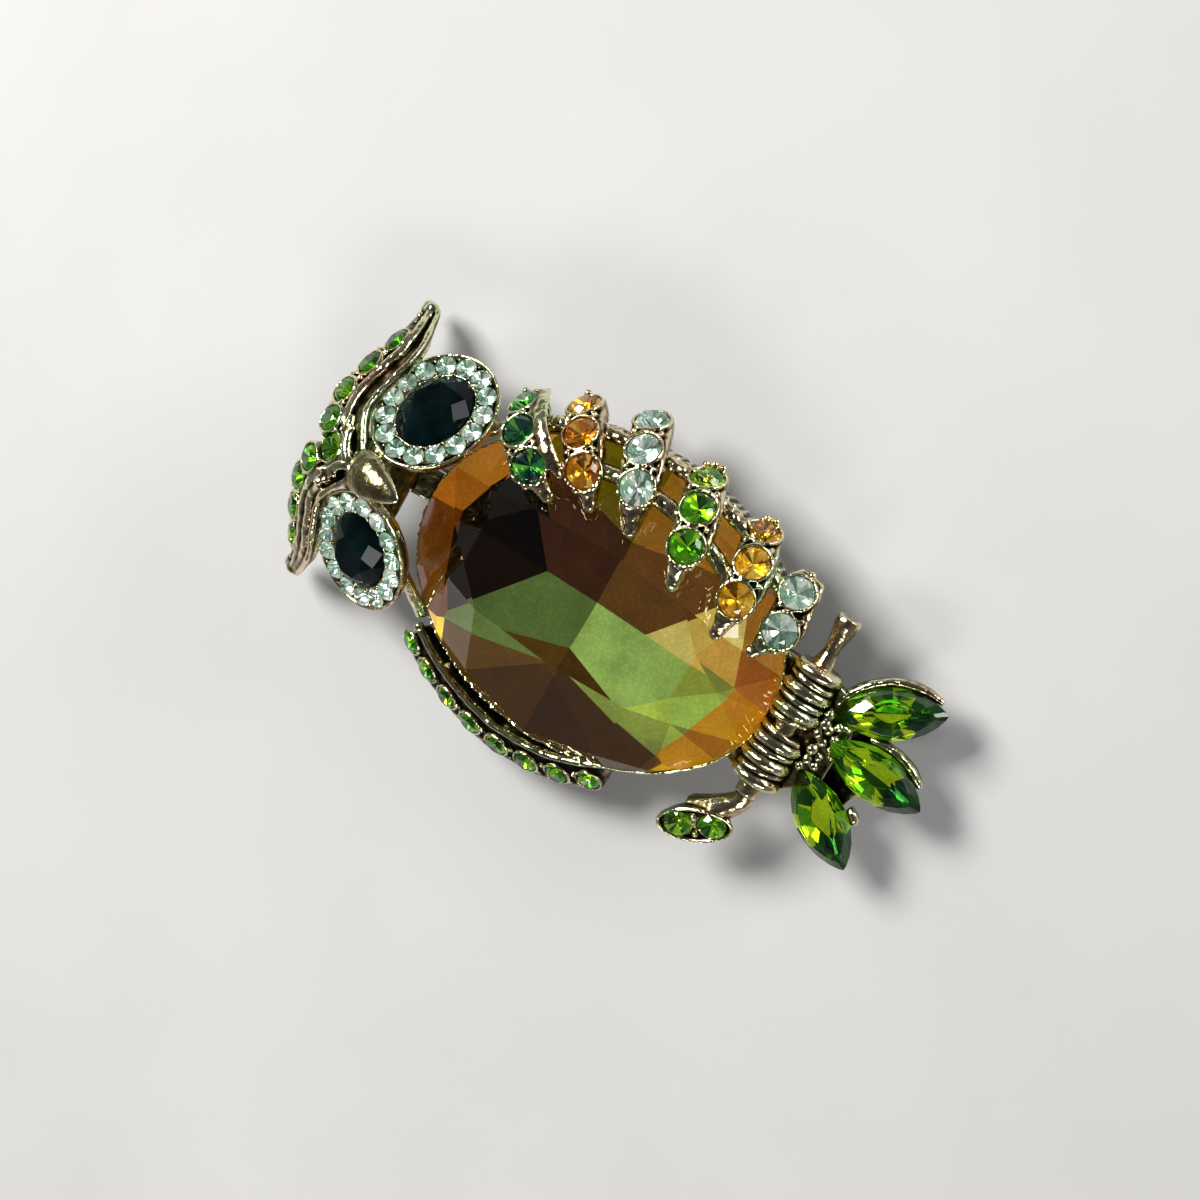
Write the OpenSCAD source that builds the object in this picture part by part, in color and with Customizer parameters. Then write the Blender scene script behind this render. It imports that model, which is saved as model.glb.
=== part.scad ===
// Owl brooch: a cast metal figure set with faceted stones, lying on its back.
// +Y runs to the head, +X to the owl's wing with the six feathers, +Z out of its front.

/* [Body stone] */
// Length of the big oval stone, along the owl
stone_l = 40; // [36:0.5:44]
// Width of the big oval stone
stone_w = 30; // [27:0.5:33]
// Height of its crown above the girdle
stone_crown = 5.5; // [5:0.1:6.5]
// Depth of its back below the girdle
stone_back = 4; // [3.5:0.1:4.5]

/* [Head] */
// Length of an eye stone
eye_stone_l = 8.8; // [8:0.1:9.4]
// Width of an eye stone
eye_stone_w = 6.9; // [6.3:0.1:7.4]
// Diameter of the small stones round an eye
halo_stone_d = 2; // [1.7:0.05:2.1]
// Distance of each eye from the middle of the head
eye_side = 8.1; // [7.8:0.1:8.8]
// Lean of each eye plate away from the front, in degrees
eye_lean = 31; // [26:1:35]
// Diameter of the stones along the brow
brow_stone_d = 2.8; // [2.4:0.1:2.8]
// Reach of the outermost brow stone from the middle
brow_half = 11.3; // [11.1:0.1:12]
// Length of the beak
beak_l = 6.6; // [6:0.1:7.4]

/* [Feathered wing] */
// Diameter of the stones on the feathers
wing_stone_d = 3.4; // [3:0.1:3.6]
// Depth of a feather below its stones
feather_depth = 2.5; // [2.2:0.1:3]
// Radius over which a feather bends down at its outer end
feather_bend_r = 7.6; // [7:0.1:8.4]
// Thickness of the bars that join the feathers
rail_d = 1.7; // [1.4:0.1:2]

/* [Folded wing] */
// Diameter of the stones along the folded wing
side_stone_d = 2.4; // [2:0.1:2.5]
// Number of stones along the folded wing
side_count = 8; // [6:1:8]

/* [Perch and tail] */
// Thickness of the perch
perch_d = 2.4; // [2:0.1:2.8]
// Reach of the perch's plain end from the middle
perch_end = 12.4; // [11.5:0.1:14]
// Diameter of the two stones in the perch's cup
cup_stone_d = 3; // [2.5:0.1:3.1]
// Length of a tail stone
tail_stone_l = 10.8; // [9.8:0.1:11.4]
// Width of a tail stone
tail_stone_w = 5.2; // [4.6:0.1:5.6]

/* [Metal and pin] */
// Thickness of the cup behind the body stone
cup_wall = 0.85; // [0.7:0.05:1.2]
// Width of metal beside a small stone
bezel = 0.4; // [0.3:0.05:0.5]
// Thickness of both wing walls
wall_t = 1.4; // [1.2:0.1:1.7]
// Height of the space for the pin behind the cup
pin_space = 3; // [2.8:0.1:3.6]
// Thickness of the pin's stem
pin_d = 0.9; // [0.7:0.05:1]
// Length of the pin's bar
pin_bar_l = 21; // [18:0.5:23]
// Width of the pin's bar
pin_bar_w = 3; // [2.4:0.1:3.6]

/* [Hidden] */
// Clearance between a stone and its seat
gap = 0.07;
// Clearance between the pin's bar and the cup
pin_gap = 0.05;
// Pin: its place along the owl, the stem's height above the feet and how much it is short of its blocks, then
// the blocks' width, length, distance in from the bar's ends, depth below the stem and depth in the bar
pin_y = 1;
stem_clear = 0.35;
stem_short = 0.2;
block_w = pin_bar_w * 0.6;
block_l = 2;
block_in = 1.2;
block_below = 0.25;
block_sunk = 0.1;
half_w = stone_w / 2;
half_l = stone_l / 2;
girdle_t = 0.6;
cup_rim = 0.35;
// The cup's room and the cup round it: shares of the outline at the floor, at the flat back and at the knee
// between them and the rim, then the knee's shares of the depth inside and outside
room_floor_share = 0.50;
cup_back_share = 0.61;
knee_share = 0.88;
room_knee_depth = 0.5;
cup_knee_depth = 0.52;
cup_knee_wall = 0.8;
rest_z = stone_back + cup_wall + 2 * gap + pin_space;

// Facet tiers of the body stone's crown, as shares of its half width, half length and crown height:
// table corners on the side, the shoulder and the end, then the angles where the main facets touch the girdle
table_side = [0.42, 0];
table_shoulder = [0.385, 0.445];
table_end = [0.16, 0.61];
main_angles = [0, 42, 75];
shoulder_apex_y = 0.69;
side_apex_y = 0.40;
end_apex_y = 0.775;
// Rings of the stone's back: share of the outline, then share of the depth
back_rings = [[0.80, 0.36], [0.42, 0.80]];

// Sides of the meshed rounds
side_n = 16;
seat_n = 10;
small_n = 8;
plate_n = 28;
outline_n = 40;

// The wing walls follow the body stone's outline at this share of it, and lean in towards their feet
wing_share = 1.08;
wing_angles = [-46, 45];
wing_steps = 14;
wing_wall_top = 2.1;
wing_foot_in = 2.3;
// Angle of the rail under the feathers' first stones, and its height
rail_angles = [-49, 27];
rail_share = 0.85;
rail_z = 3.4;
// The folded wing: angles of its ends and of its stones, height of its lip, place and lean of its stones
side_angles = [138, 206];
side_stone_angles = [141, 200.5];
side_lip_z = -0.5;
side_stone_out = 1.8;
side_stone_z = -1.75;
side_stone_lean = 48;
side_foot_in = 1.4;
// How far the folded wing stands out or in beside the outline, at an angle
SIDE_SHIFT = [[138, 0.4], [172, 0.5], [188, 0], [206, -1.2]];
// Feet that join both wing walls to the cup: their angles, then for both ends the share of the outline and
// the block there
FOOT_ANGLES = [-38, -8, 24, 152, 176, 198];
foot_shares = [0.86, 1.03];
foot_blocks = [[2, 2, 1], [1, 2, 1.4]];
foot_depth = 0.72;

// Feathers: tip as shares of half width and half length, heading, stones, then in stone diameters the way
// from the tip to the first stone and the sideways bow, then the stones' kind
FEATHERS = [
    [0.50, 0.38, 53.5, 3, 1.10, 0.22, 0],
    [0.58, 0.19, 41.5, 3, 1.10, 0, 1],
    [0.573, -0.04, 25, 3, 1.36, -0.1, 2],
    [0.453, -0.35, 17, 3, 1.23, -0.21, 0],
    [0.327, -0.64, 9.5, 3, 1.20, -0.26, 1],
    [0.323, -0.805, -7, 2, 1.07, -0.31, 2]
];
// Width of a feather from tip to outer end: share of its length, share of its full width
FEATHER_WIDTHS = [
    [0, 0.14], [0.1, 0.42], [0.2, 0.74], [0.34, 0.98], [0.5, 1], [0.7, 1], [0.86, 0.94], [1, 0.66]
];
// Section across a feather: share of the half width, share of the depth
FEATHER_SECTION = [[1, 0.1], [0.96, -0.45], [0.55, -1], [-0.55, -1], [-0.96, -0.45], [-1, 0.1]];
feather_pitch = wing_stone_d + 2 * gap + 0.4;
feather_half_w = wing_stone_d / 2 + gap + bezel;
feather_tip_t = 0.95;

// Brow: share of its half reach, then y and z beside its highest point as shares of the same reach
BROW = [[0, -0.23, 0.5], [0.2, -0.075, 0.42], [0.44, 0, 0.25], [0.73, -0.035, 0.1], [1, -0.1, -0.05]];
brow_tip = [1.33, -0.09, -0.34];
brow_y = half_l + 12.3;
eye_y = half_l + 3.05;
eye_z = 2.7;
eye_azimuth = 18;
eye_turn = -8;
eye_plate_t = 1.7;
halo_space = 0.16;
halo_out = eye_stone_w / 2 + halo_stone_d / 2 + halo_space;
halo_out_l = eye_stone_l / 2 + halo_stone_d / 2 + halo_space;
// As many small stones as fit round the oval with this much room between them
halo_room = 0.12;
halo_count = floor(2 * PI * sqrt((pow(halo_out_l, 2) + pow(halo_out, 2)) / 2) / (halo_stone_d + halo_room));
beak_base = [0, half_l + 5.1, 6.6];
beak_drop = 2.5;
beak_half_w = 2.3;
// Mask behind the head: radius and height of its rounds, and their places beside an eye, the brow's highest
// point and the beak's base
eye_round = [2.6, 0.9];
eye_round_at = [-1, 1.6, -eye_plate_t - 0.6];
brow_round = [1.6, 1.8];
brow_round_at = [0, -2.6, -3.6];
beak_round = [1.7, 2.2];
beak_round_at = [0, 0.6, -3];
// Braces from the brow to the eye plates: blocks at both ends, and their places beside a brow stone and
// beside an eye
brace_blocks = [[1.6, 1.4, 1], [5, 2, 0.8]];
brace_brow_at = [0, -1.6, -2.8];
brace_eye_at = [0, 1.5, -eye_plate_t - 0.4];
// Neck: blocks at the cup, below the eyes and under the beak, and the round that meets the beak
neck_blocks = [[3.4, 2.4, 1.3], [3.4, 2.2, 1.6], [3, 2, 1.4]];
neck_at = [[0.8, half_l - 0.6, -stone_back * 0.62], [0.8, eye_y + 1.4, -0.3], [0.6, eye_y + 1.6, -0.3]];
neck_round = [1.5, 1];
// Posts from each eye plate to its wing: thickness, then for the left and the right one the height of the
// foot and the place along the plate
post_r = 0.8;
post_foot = [0.74, 0.77];
post_foot_z = [-1.6, 0.6];
post_x = [0.2, 1.6];

perch_y = -half_l - 2.3;
perch_z = 0.1;
// Toes: places along the perch as shares of its plain end's reach
TOES = [-0.46, -0.30, -0.13, 0.16, 0.34, 0.51];
toe_w = 1.75;
toe_r = [2.65, 2.25];
// The perch's cup: centre, opening, and the way it faces
horn_at = [-half_w + 1.6, perch_y + 2.8, -0.6];
horn_turn = [0, -28, 28];
horn_half = [2.15, 4];
// Perch: shares of its reach where the cup's stem leaves and where the plain end begins, the length of the
// step down to that end's waist, and shares of its thickness at the waist, the end and the stem
perch_start = -perch_end * 0.62;
perch_stub = perch_end * 0.56;
perch_step = 2;
waist_share = 0.36;
flare_share = 0.56;
stem_share = 0.46;
// Foot of the stem in the cup: radius, thickness and place
stem_foot = [1.1, 0.5];
stem_foot_at = [0.4, 0, -1.8];
stem_foot_long = 1.3;
// Rings of the cup: shares of its opening and height
HORN_RINGS = [[0.5, 0.45, -2], [0.86, 0.84, -1], [1, 1, 0.35]];
// Its hollow: inset from the opening and height
HORN_HOLLOW = [[0.75, 0], [0.35, 0.6]];
// Blocks that join the cup, the toes and the tail, and their places
toe_blocks = [[12, 2, 1.6], [13, 3, 1.6], [8.4, 2, 1]];
toe_blocks_at = [
    [0, -half_l + 1.4, -stone_back * 0.6], [0, perch_y, perch_z - 1], [0.4, perch_y - 4.4, -2.8]
];

// Tail: each stone's base point beside the perch, its heading, and the share of its edge that has a rim
TAIL = [[-3.1, -3.0, -126, 0.52, 0.68], [0.9, -4.3, -97, 0.3, 0.9], [3.6, -3.2, -60, 0, 0.97]];
tail_z = -1.1;
tail_seat_t = 1.9;
tail_droop = 6;
tail_stone_back = 1.3;
// Rim beside a tail stone's edge, how far it starts before its share of the edge, and the webs between stones
tail_rim = 0.7;
tail_rim_lead = 0.8;
web_block = [4, 2, 0.7];
web_share = 0.4;
web_raise = 0.15;

// Section of the folded wing: out from the outline, then height
side_edge = side_stone_out + 1.1;
SIDE_SECTION = [
    [-wall_t * 0.35, side_lip_z - 0.2], [-wall_t * 0.45, -3.4], [-side_foot_in - wall_t, -rest_z],
    [-side_foot_in, -rest_z], [side_stone_out, side_stone_z - 2.2], [side_edge, side_stone_z - 1.2],
    [side_edge - 0.1, side_stone_z - 0.5], [wall_t * 0.3, side_lip_z]
];

// The brow's ridge: one ring at each stone and one at each tip, from the left tip to the right one
BROW_PATH = concat(
    [brow_place([-brow_tip[0], brow_tip[1], brow_tip[2]])],
    [for (i = [0:8]) brow_at(i)],
    [brow_place(brow_tip)]
);
BROW_SIZES = [0.45, 0.9, 1, 1, 1, 1.05, 1, 1, 1, 0.9, 0.45];
// Section across the ridge, in half widths of a stone's seat: beside it, then along its way out
BROW_SECTION = [[1, 0.12], [0.75, -1.35], [-0.9, -1.7], [-1.9, -1.25], [-2.1, -0.6], [-1, 0.12]];

// Reach of the whole owl on each side, for the origin under its middle
left_reach = -min([for (i = [0:wing_steps], p = side_ring(i)) p[0]]);
right_reach = max([for (f = [0:5], p = feather_ring(f, 1)) p[0]]);
top_reach = max([for (j = [0:10], p = brow_ring(j)) p[1]]);
tail_reach = -perch_y - TAIL[1][1] - tail_stone_l * cos(tail_droop) * sin(TAIL[1][2]);
middle = [(right_reach - left_reach) / 2, (top_reach - tail_reach) / 2, -rest_z];

GOLD = [0.62, 0.52, 0.36];
AMBER = [0.80, 0.45, 0.08];
OLIVE = [0.25, 0.42, 0.05];
PALE = [0.72, 0.86, 0.78];
JET = [0.03, 0.05, 0.06];
KINDS = [OLIVE, AMBER, PALE];

// Small helpers on lists
function unit(v) = v / norm(v);
function flat(lists) = [for (l = lists) each l];
function oval_points(n, a, b, z = 0) = [for (i = [0:n - 1]) [a * cos(360 * i / n), b * sin(360 * i / n), z]];
function circle_points(n, r, z = 0) = oval_points(n, r, r, z);
function mix(a, b, t) = a * (1 - t) + b * t;

// A value looked up in a table of [place, value] rows
function along(table, t, i = 0) =
    t <= table[i][0] ? table[i][1]
    : i >= len(table) - 1 ? table[i][1]
    : t <= table[i + 1][0]
        ? mix(table[i][1], table[i + 1][1], (t - table[i][0]) / (table[i + 1][0] - table[i][0]))
    : along(table, t, i + 1);

// The convex solid round a list of points
module shell_of(points) {
    hull() polyhedron(points = points, faces = [[for (i = [0:len(points) - 1]) i]]);
}

// A block or a short round at a point
module block(size, at) {
    translate(at) cube(size, center = true);
}
module puck(size, at) {
    translate(at) cylinder(h = size[1], r = size[0], $fn = 10);
}

// A closed solid through rings of equally many points
function sum(list) = [for (v = list) 1] * list;
function facing(ring) = sum([for (i = [1:len(ring) - 2]) cross(ring[i] - ring[0], ring[i + 1] - ring[0])]);
module loft(rings) {
    n = len(rings[0]);
    last = len(rings) - 1;
    onward = facing(rings[0]) * (rings[1][0] - rings[0][0]) > 0;
    sides = [for (r = [0:last - 1], i = [0:n - 1]) let (j = (i + 1) % n) each [
        [r * n + i, (r + 1) * n + i, (r + 1) * n + j],
        [r * n + i, (r + 1) * n + j, r * n + j]
    ]];
    caps = [[for (i = [0:n - 1]) i], [for (i = [n - 1:-1:0]) last * n + i]];
    faces = concat(sides, caps);
    polyhedron(
        points = flat(rings),
        faces = onward ? faces : [for (f = faces) [for (i = [len(f) - 1:-1:0]) f[i]]],
        convexity = 6
    );
}

// Places children at a point with their +Z along a direction and their +X turned by an angle about it
module face_along(at, direction, turn = 0) {
    d = unit(direction);
    azimuth = atan2(d[1], d[0]);
    translate(at) rotate([0, acos(d[2]), azimuth]) rotate([0, 0, turn - azimuth]) children();
}

// Cut stones, each with its girdle's top at z = 0
function round_stone_points(d, n = side_n) = concat(
    circle_points(8, d * 0.29, d * 0.2),
    circle_points(n, d / 2),
    [[0, 0, -d * 0.34]]
);
module round_stone(d, n = side_n) {
    shell_of(round_stone_points(d, n));
}
module oval_stone(l, w, crown, back) {
    shell_of(concat(
        oval_points(8, l * 0.30, w * 0.28, crown),
        oval_points(16, l * 0.42, w * 0.41, crown * 0.62),
        oval_points(24, l / 2, w / 2),
        oval_points(8, l * 0.2, w * 0.16, -back)
    ));
}
// Outline of a navette, from its base point at the origin along +X, drawn in or out by k
navette_n = 8;
function navette_side(l, w, z, k) = [for (i = [0:navette_n])
    let (a = 180 * i / navette_n) [l / 2 * (1 - k * cos(a)), k * w / 2 * pow(sin(a), 1.6), z]];
function navette_points(l, w, z, k = 1) =
    let (top = navette_side(l, w, z, k))
    concat(top, [for (i = [navette_n - 1:-1:1]) [top[i][0], -top[i][1], z]]);
module navette(l, w) {
    shell_of(concat(
        navette_points(l, w, 1.35, 0.5), navette_points(l, w, 0.85, 0.78), navette_points(l, w, 0),
        [[l * 0.3, 0, -tail_stone_back], [l * 0.7, 0, -tail_stone_back]]
    ));
}
module round_seat(d) {
    deep = d * 0.34 + 2 * gap;
    translate([0, 0, -deep]) cylinder(h = deep + d, r = (d / 2 + gap) / cos(180 / seat_n), $fn = seat_n);
}

// Body stone. Each main facet meets the table at a corner and touches the girdle's outline at an angle.
function main_slope(corner, angle) = 1 / (1 - corner[0] * cos(angle) - corner[1] * sin(angle));
function main_height(k, x, y) =
    let (corner = [table_side, table_shoulder, table_end][k], a = main_angles[k])
    main_slope(corner, a) * (1 - abs(x) * cos(a) - abs(y) * sin(a));
function crown_share(x, y) = min(1, main_height(0, x, y), main_height(1, x, y), main_height(2, x, y));
function crown_z(p) = stone_crown * crown_share(p[0] / half_w, p[1] / half_l);
// Where two neighbouring main facets meet at a given y share
function meet_x(k, y) =
    let (a = main_angles[k], b = main_angles[k + 1],
         p = main_slope([table_side, table_shoulder, table_end][k], a),
         q = main_slope([table_side, table_shoulder, table_end][k + 1], b))
    (p - q - (p * sin(a) - q * sin(b)) * y) / (p * cos(a) - q * cos(b));
function crown_corners() =
    let (quarter = concat([
        [table_shoulder[0], table_shoulder[1], 1], [table_end[0], table_end[1], 1],
        [0.62, side_apex_y, main_height(0, 0.62, side_apex_y)],
        [meet_x(1, shoulder_apex_y), shoulder_apex_y,
            main_height(2, meet_x(1, shoulder_apex_y), shoulder_apex_y)],
        [table_side[0], 0, 1], [0, end_apex_y, main_height(2, 0, end_apex_y)]
    ]))
    [for (c = quarter, sx = [-1, 1], sy = [-1, 1]) [sx * c[0], sy * c[1], c[2]]];
function body_stone_points() = concat(
    [for (c = crown_corners()) [c[0] * half_w, c[1] * half_l, c[2] * stone_crown]],
    [for (i = [0:outline_n - 1])
        let (t = 360 * i / outline_n, x = cos(t), y = sin(t))
        [half_w * x, half_l * y, max(0, crown_share(x, y)) * stone_crown]],
    oval_points(outline_n, half_w, half_l, -girdle_t),
    flat([for (r = back_rings)
        oval_points(12, half_w * r[0], half_l * r[0], -girdle_t - (stone_back - girdle_t) * r[1])]),
    [[0, 0, -stone_back]]
);

module body_stone() {
    color(AMBER) shell_of(body_stone_points());
}

// Cup behind the body stone
function outline_at(share, grow, z) = oval_points(outline_n, half_w * share + grow, half_l * share + grow, z);
// Room for the stone in the cup, open to the front
module stone_room() {
    deep = stone_back + gap;
    loft([
        outline_at(room_floor_share, 0, -deep), outline_at(knee_share, gap, -deep * room_knee_depth - gap),
        outline_at(1, gap, -girdle_t - gap), outline_at(1, gap, stone_crown)
    ]);
}
module stone_cup() {
    wall = cup_wall + gap;
    deep = stone_back + gap;
    difference() {
        loft([
            outline_at(cup_back_share, 0, -deep - cup_wall),
            outline_at(knee_share, wall, -deep * cup_knee_depth - wall * cup_knee_wall),
            outline_at(1, gap + cup_rim, -girdle_t * 0.7)
        ]);
        stone_room();
    }
}

// Feathers
function feather_at(f) = [FEATHERS[f][0] * half_w, FEATHERS[f][1] * half_l];
function feather_lead(f) = FEATHERS[f][4] * wing_stone_d;
function feather_length(f) = feather_stone_s(f, FEATHERS[f][3] - 1) + wing_stone_d * 0.5 + 1.1;
// Lean of the feather at a distance from its tip, and its path
function feather_lean(f, s) = max(0, s - feather_lead(f) + 0.5) / feather_bend_r * 180 / PI;
function feather_point(f, s) =
    let (flat_s = min(s, feather_lead(f) - 0.5), lean = feather_lean(f, s), h = FEATHERS[f][2],
         r = flat_s + feather_bend_r * sin(lean), drop = feather_bend_r * (1 - cos(lean)),
         rise = 0.35 * min(1, s / feather_lead(f)),
         last_s = feather_stone_s(f, FEATHERS[f][3] - 1),
         bow = FEATHERS[f][5] * wing_stone_d * sin(180 * min(1, s / last_s)))
    [feather_at(f)[0] + r * cos(h) - bow * sin(h), feather_at(f)[1] + r * sin(h) + bow * cos(h),
     crown_z(feather_at(f)) + 2 * gap + feather_tip_t + rise - drop];
function feather_up(f, s) =
    let (lean = feather_lean(f, s), h = FEATHERS[f][2]) [sin(lean) * cos(h), sin(lean) * sin(h), cos(lean)];
function feather_side(f) = [-sin(FEATHERS[f][2]), cos(FEATHERS[f][2]), 0];
function feather_stone_s(f, k) = feather_lead(f) + k * feather_pitch;
function feather_ring(f, t) =
    let (s = t * feather_length(f), at = feather_point(f, s), up = feather_up(f, s), side = feather_side(f),
         w = feather_half_w * along(FEATHER_WIDTHS, t),
         deep = mix(feather_tip_t, feather_depth, min(1, t / 0.3)))
    [for (p = FEATHER_SECTION) at + side * (w * p[0]) + up * (deep * p[1])];
module at_feather_stone(f, k) {
    s = feather_stone_s(f, k);
    face_along(feather_point(f, s), feather_up(f, s), FEATHERS[f][2]) children();
}
module feather(f) {
    loft([for (row = FEATHER_WIDTHS) feather_ring(f, row[0])]);
}
module feather_stone(f, k) {
    color(KINDS[FEATHERS[f][6]]) at_feather_stone(f, k) round_stone(wing_stone_d);
}

// A wall or bar that follows the body stone's outline: rings of a section of [outward, height] points
function outline_ring(t, share, section, shift = 0) =
    [for (p = section)
        let (out = p[0] + shift) [(half_w * share + out) * cos(t), (half_l * share + out) * sin(t), p[1]]];
function wing_angle(angles, i) = mix(angles[0], angles[1], i / wing_steps);
module follow(angles, share, section) {
    loft([for (i = [0:wing_steps]) outline_ring(wing_angle(angles, i), share, section)]);
}
// Section of a wall through the points of its outer face
function wall_section(outer) =
    concat(outer, [for (i = [len(outer) - 1:-1:0]) [outer[i][0] - wall_t, outer[i][1]]]);
module feathered_wing() {
    outer = [[wall_t / 2, wing_wall_top], [wall_t * 0.3, -1.4], [wall_t / 2 - wing_foot_in, -rest_z]];
    difference() {
        union() {
            follow(rail_angles, rail_share,
                [for (i = [0:7]) [rail_d / 2 * cos(45 * i), rail_z + rail_d / 2 * sin(45 * i)]]);
            follow(wing_angles, wing_share, wall_section(outer));
            for (f = [0:5]) feather(f);
        }
        for (f = [0:5], k = [0:FEATHERS[f][3] - 1]) at_feather_stone(f, k) round_seat(wing_stone_d);
    }
}

// Folded wing with its row of stones
function side_stone_angle(i) = mix(side_stone_angles[0], side_stone_angles[1], i / (side_count - 1));
function side_stone_at(i) =
    let (t = side_stone_angle(i), out = side_stone_out + along(SIDE_SHIFT, t))
    [(half_w * wing_share + out) * cos(t), (half_l * wing_share + out) * sin(t), side_stone_z];
function side_stone_up(i) =
    let (t = side_stone_angle(i), out = unit([cos(t) / half_w, sin(t) / half_l, 0]))
    out * sin(side_stone_lean) + [0, 0, cos(side_stone_lean)];
function side_ring(i) =
    let (t = wing_angle(side_angles, i)) outline_ring(t, wing_share, SIDE_SECTION, along(SIDE_SHIFT, t));
module folded_wing() {
    difference() {
        loft([for (i = [0:wing_steps]) side_ring(i)]);
        stone_room();
        for (i = [0:side_count - 1]) face_along(side_stone_at(i), side_stone_up(i)) round_seat(side_stone_d);
    }
    // feet that join both wing walls to the cup
    for (t = FOOT_ANGLES) hull() for (k = [0, 1])
        block(foot_blocks[k],
            [half_w * foot_shares[k] * cos(t), half_l * foot_shares[k] * sin(t), -stone_back * foot_depth]);
}
module side_stones() {
    color(OLIVE) for (i = [0:side_count - 1])
        face_along(side_stone_at(i), side_stone_up(i)) round_stone(side_stone_d, small_n);
}

// Head. Each eye has its own frame: +Z out of the eye, +X along the eye's length.
function eye_up(s) = [s * sin(eye_lean) * cos(eye_azimuth), sin(eye_lean) * sin(eye_azimuth), cos(eye_lean)];
module eye_frame(s) {
    translate([s * eye_side, eye_y, eye_z]) mirror([s < 0 ? 1 : 0, 0, 0])
        rotate([0, eye_lean, 0]) rotate([-eye_lean * sin(eye_azimuth), 0, eye_turn]) children();
}
// Turned on a little so that the stones stand evenly along the oval
function halo_turn(i) =
    let (t = 360 * (i + 0.5) / halo_count, uneven = (halo_out_l - halo_out) / (halo_out_l + halo_out))
    t + uneven * 90 / PI * sin(2 * t);
function halo_at(i) = [halo_out_l * cos(halo_turn(i)), halo_out * sin(halo_turn(i)), 0.12];
module halo(s) {
    color(PALE) eye_frame(s)
        for (i = [0:halo_count - 1]) translate(halo_at(i)) round_stone(halo_stone_d, small_n);
}
module eye_stone(s) {
    color(JET) eye_frame(s) translate([0, 0, 0.1]) oval_stone(eye_stone_l, eye_stone_w, 1.5, 1.05);
}
module eye_plate(s) {
    rim_l = halo_out_l + halo_stone_d / 2 + bezel + gap;
    rim_w = halo_out + halo_stone_d / 2 + bezel + gap;
    eye_frame(s) loft([
        oval_points(plate_n, rim_l * 0.8, rim_w * 0.78, -eye_plate_t),
        oval_points(plate_n, rim_l * 0.97, rim_w * 0.97, -eye_plate_t * 0.55),
        oval_points(plate_n, rim_l, rim_w, 0.1)
    ]);
}
// Seat of an eye stone, and the groove that holds its ring of small stones
module eye_room(s) {
    seat_l = eye_stone_l / 2 + gap;
    seat_w = eye_stone_w / 2 + gap;
    groove_l = halo_out_l + halo_stone_d / 2 + 2 * gap;
    groove_w = halo_out + halo_stone_d / 2 + 2 * gap;
    groove_z = -halo_stone_d * 0.34 - gap;
    eye_frame(s) {
        loft([for (z = [-1.25, 1]) oval_points(plate_n, seat_l, seat_w, z)]);
        loft([for (z = [groove_z, 1]) oval_points(plate_n, groove_l, groove_w, z)]);
    }
}

function brow_row(i) = let (r = BROW[abs(i - 4)]) [sign(i - 4) * r[0], r[1], r[2]];
function brow_place(r) = [r[0] * brow_half, brow_y + r[1] * brow_half, r[2] * brow_half];
function brow_at(i) = brow_place(brow_row(i));
function brow_up(i) = let (x = (i - 4) / 4) unit([0.42 * x, 0.52 + 0.25 * abs(x), 0.78 - 0.2 * abs(x)]);
function brow_ring(j) =
    let (up = brow_up(min(8, max(0, j - 1))),
         run = unit(BROW_PATH[min(10, j + 1)] - BROW_PATH[max(0, j - 1)]),
         side = unit(cross(up, run)), k = BROW_SIZES[j] * (brow_stone_d / 2 + bezel))
    [for (p = BROW_SECTION) BROW_PATH[j] + side * (k * p[0]) + up * (k * p[1])];
module brow() {
    difference() {
        loft([for (j = [0:10]) brow_ring(j)]);
        for (i = [0:8]) face_along(brow_at(i), brow_up(i)) round_seat(brow_stone_d);
    }
}
module brow_stone(i) {
    color(OLIVE) face_along(brow_at(i), brow_up(i)) round_stone(brow_stone_d);
}
module beak() {
    n = 10;
    // share of the length from the base, share of the half width, height of the ridge and of the underside
    rows = [[-0.1, 0.35, 0.2, -0.8], [0.05, 0.85, 0.75, -1.3], [0.3, 1, 1.1, -1.3], [0.6, 0.72, 1, -0.9],
            [0.85, 0.34, 0.6, -0.45], [1, 0.06, 0.1, -0.1]];
    loft([for (r = rows) [for (i = [0:n - 1]) let (a = 360 * i / n)
        beak_base + [beak_half_w * r[1] * cos(a), 1.4 - beak_l * r[0],
            beak_drop * r[0] + (sin(a) > 0 ? r[2] : -r[3]) * sin(a)]]]);
}
module head() {
    difference() {
        union() {
            for (s = [-1, 1]) eye_plate(s);
            brow();
            head_back();
        }
        for (s = [-1, 1]) eye_room(s);
    }
    beak();
}
// Mask behind the eyes, braces, neck and posts
module head_back() {
    hull() {
        for (s = [-1, 1]) eye_frame(s) puck(eye_round, eye_round_at);
        puck(brow_round, brow_at(4) + brow_round_at);
        puck(beak_round, beak_base + beak_round_at);
    }
    for (s = [-1, 1]) hull() {
        block(brace_blocks[0], brow_at(4 + 3 * s) + brace_brow_at);
        eye_frame(s) block(brace_blocks[1], brace_eye_at);
    }
    hull() for (k = [0, 1]) block(neck_blocks[k], neck_at[k]);
    hull() {
        block(neck_blocks[2], neck_at[2]);
        puck(neck_round, beak_base + beak_round_at);
    }
    for (k = [0, 1]) let (s = 2 * k - 1) hull() {
        translate([s * half_w * post_foot[0], half_l * post_foot[1], post_foot_z[k]])
            sphere(r = post_r, $fn = 8);
        eye_frame(s) translate([post_x[k], -halo_out, -eye_plate_t * 0.7]) sphere(r = post_r, $fn = 8);
    }
}

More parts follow.
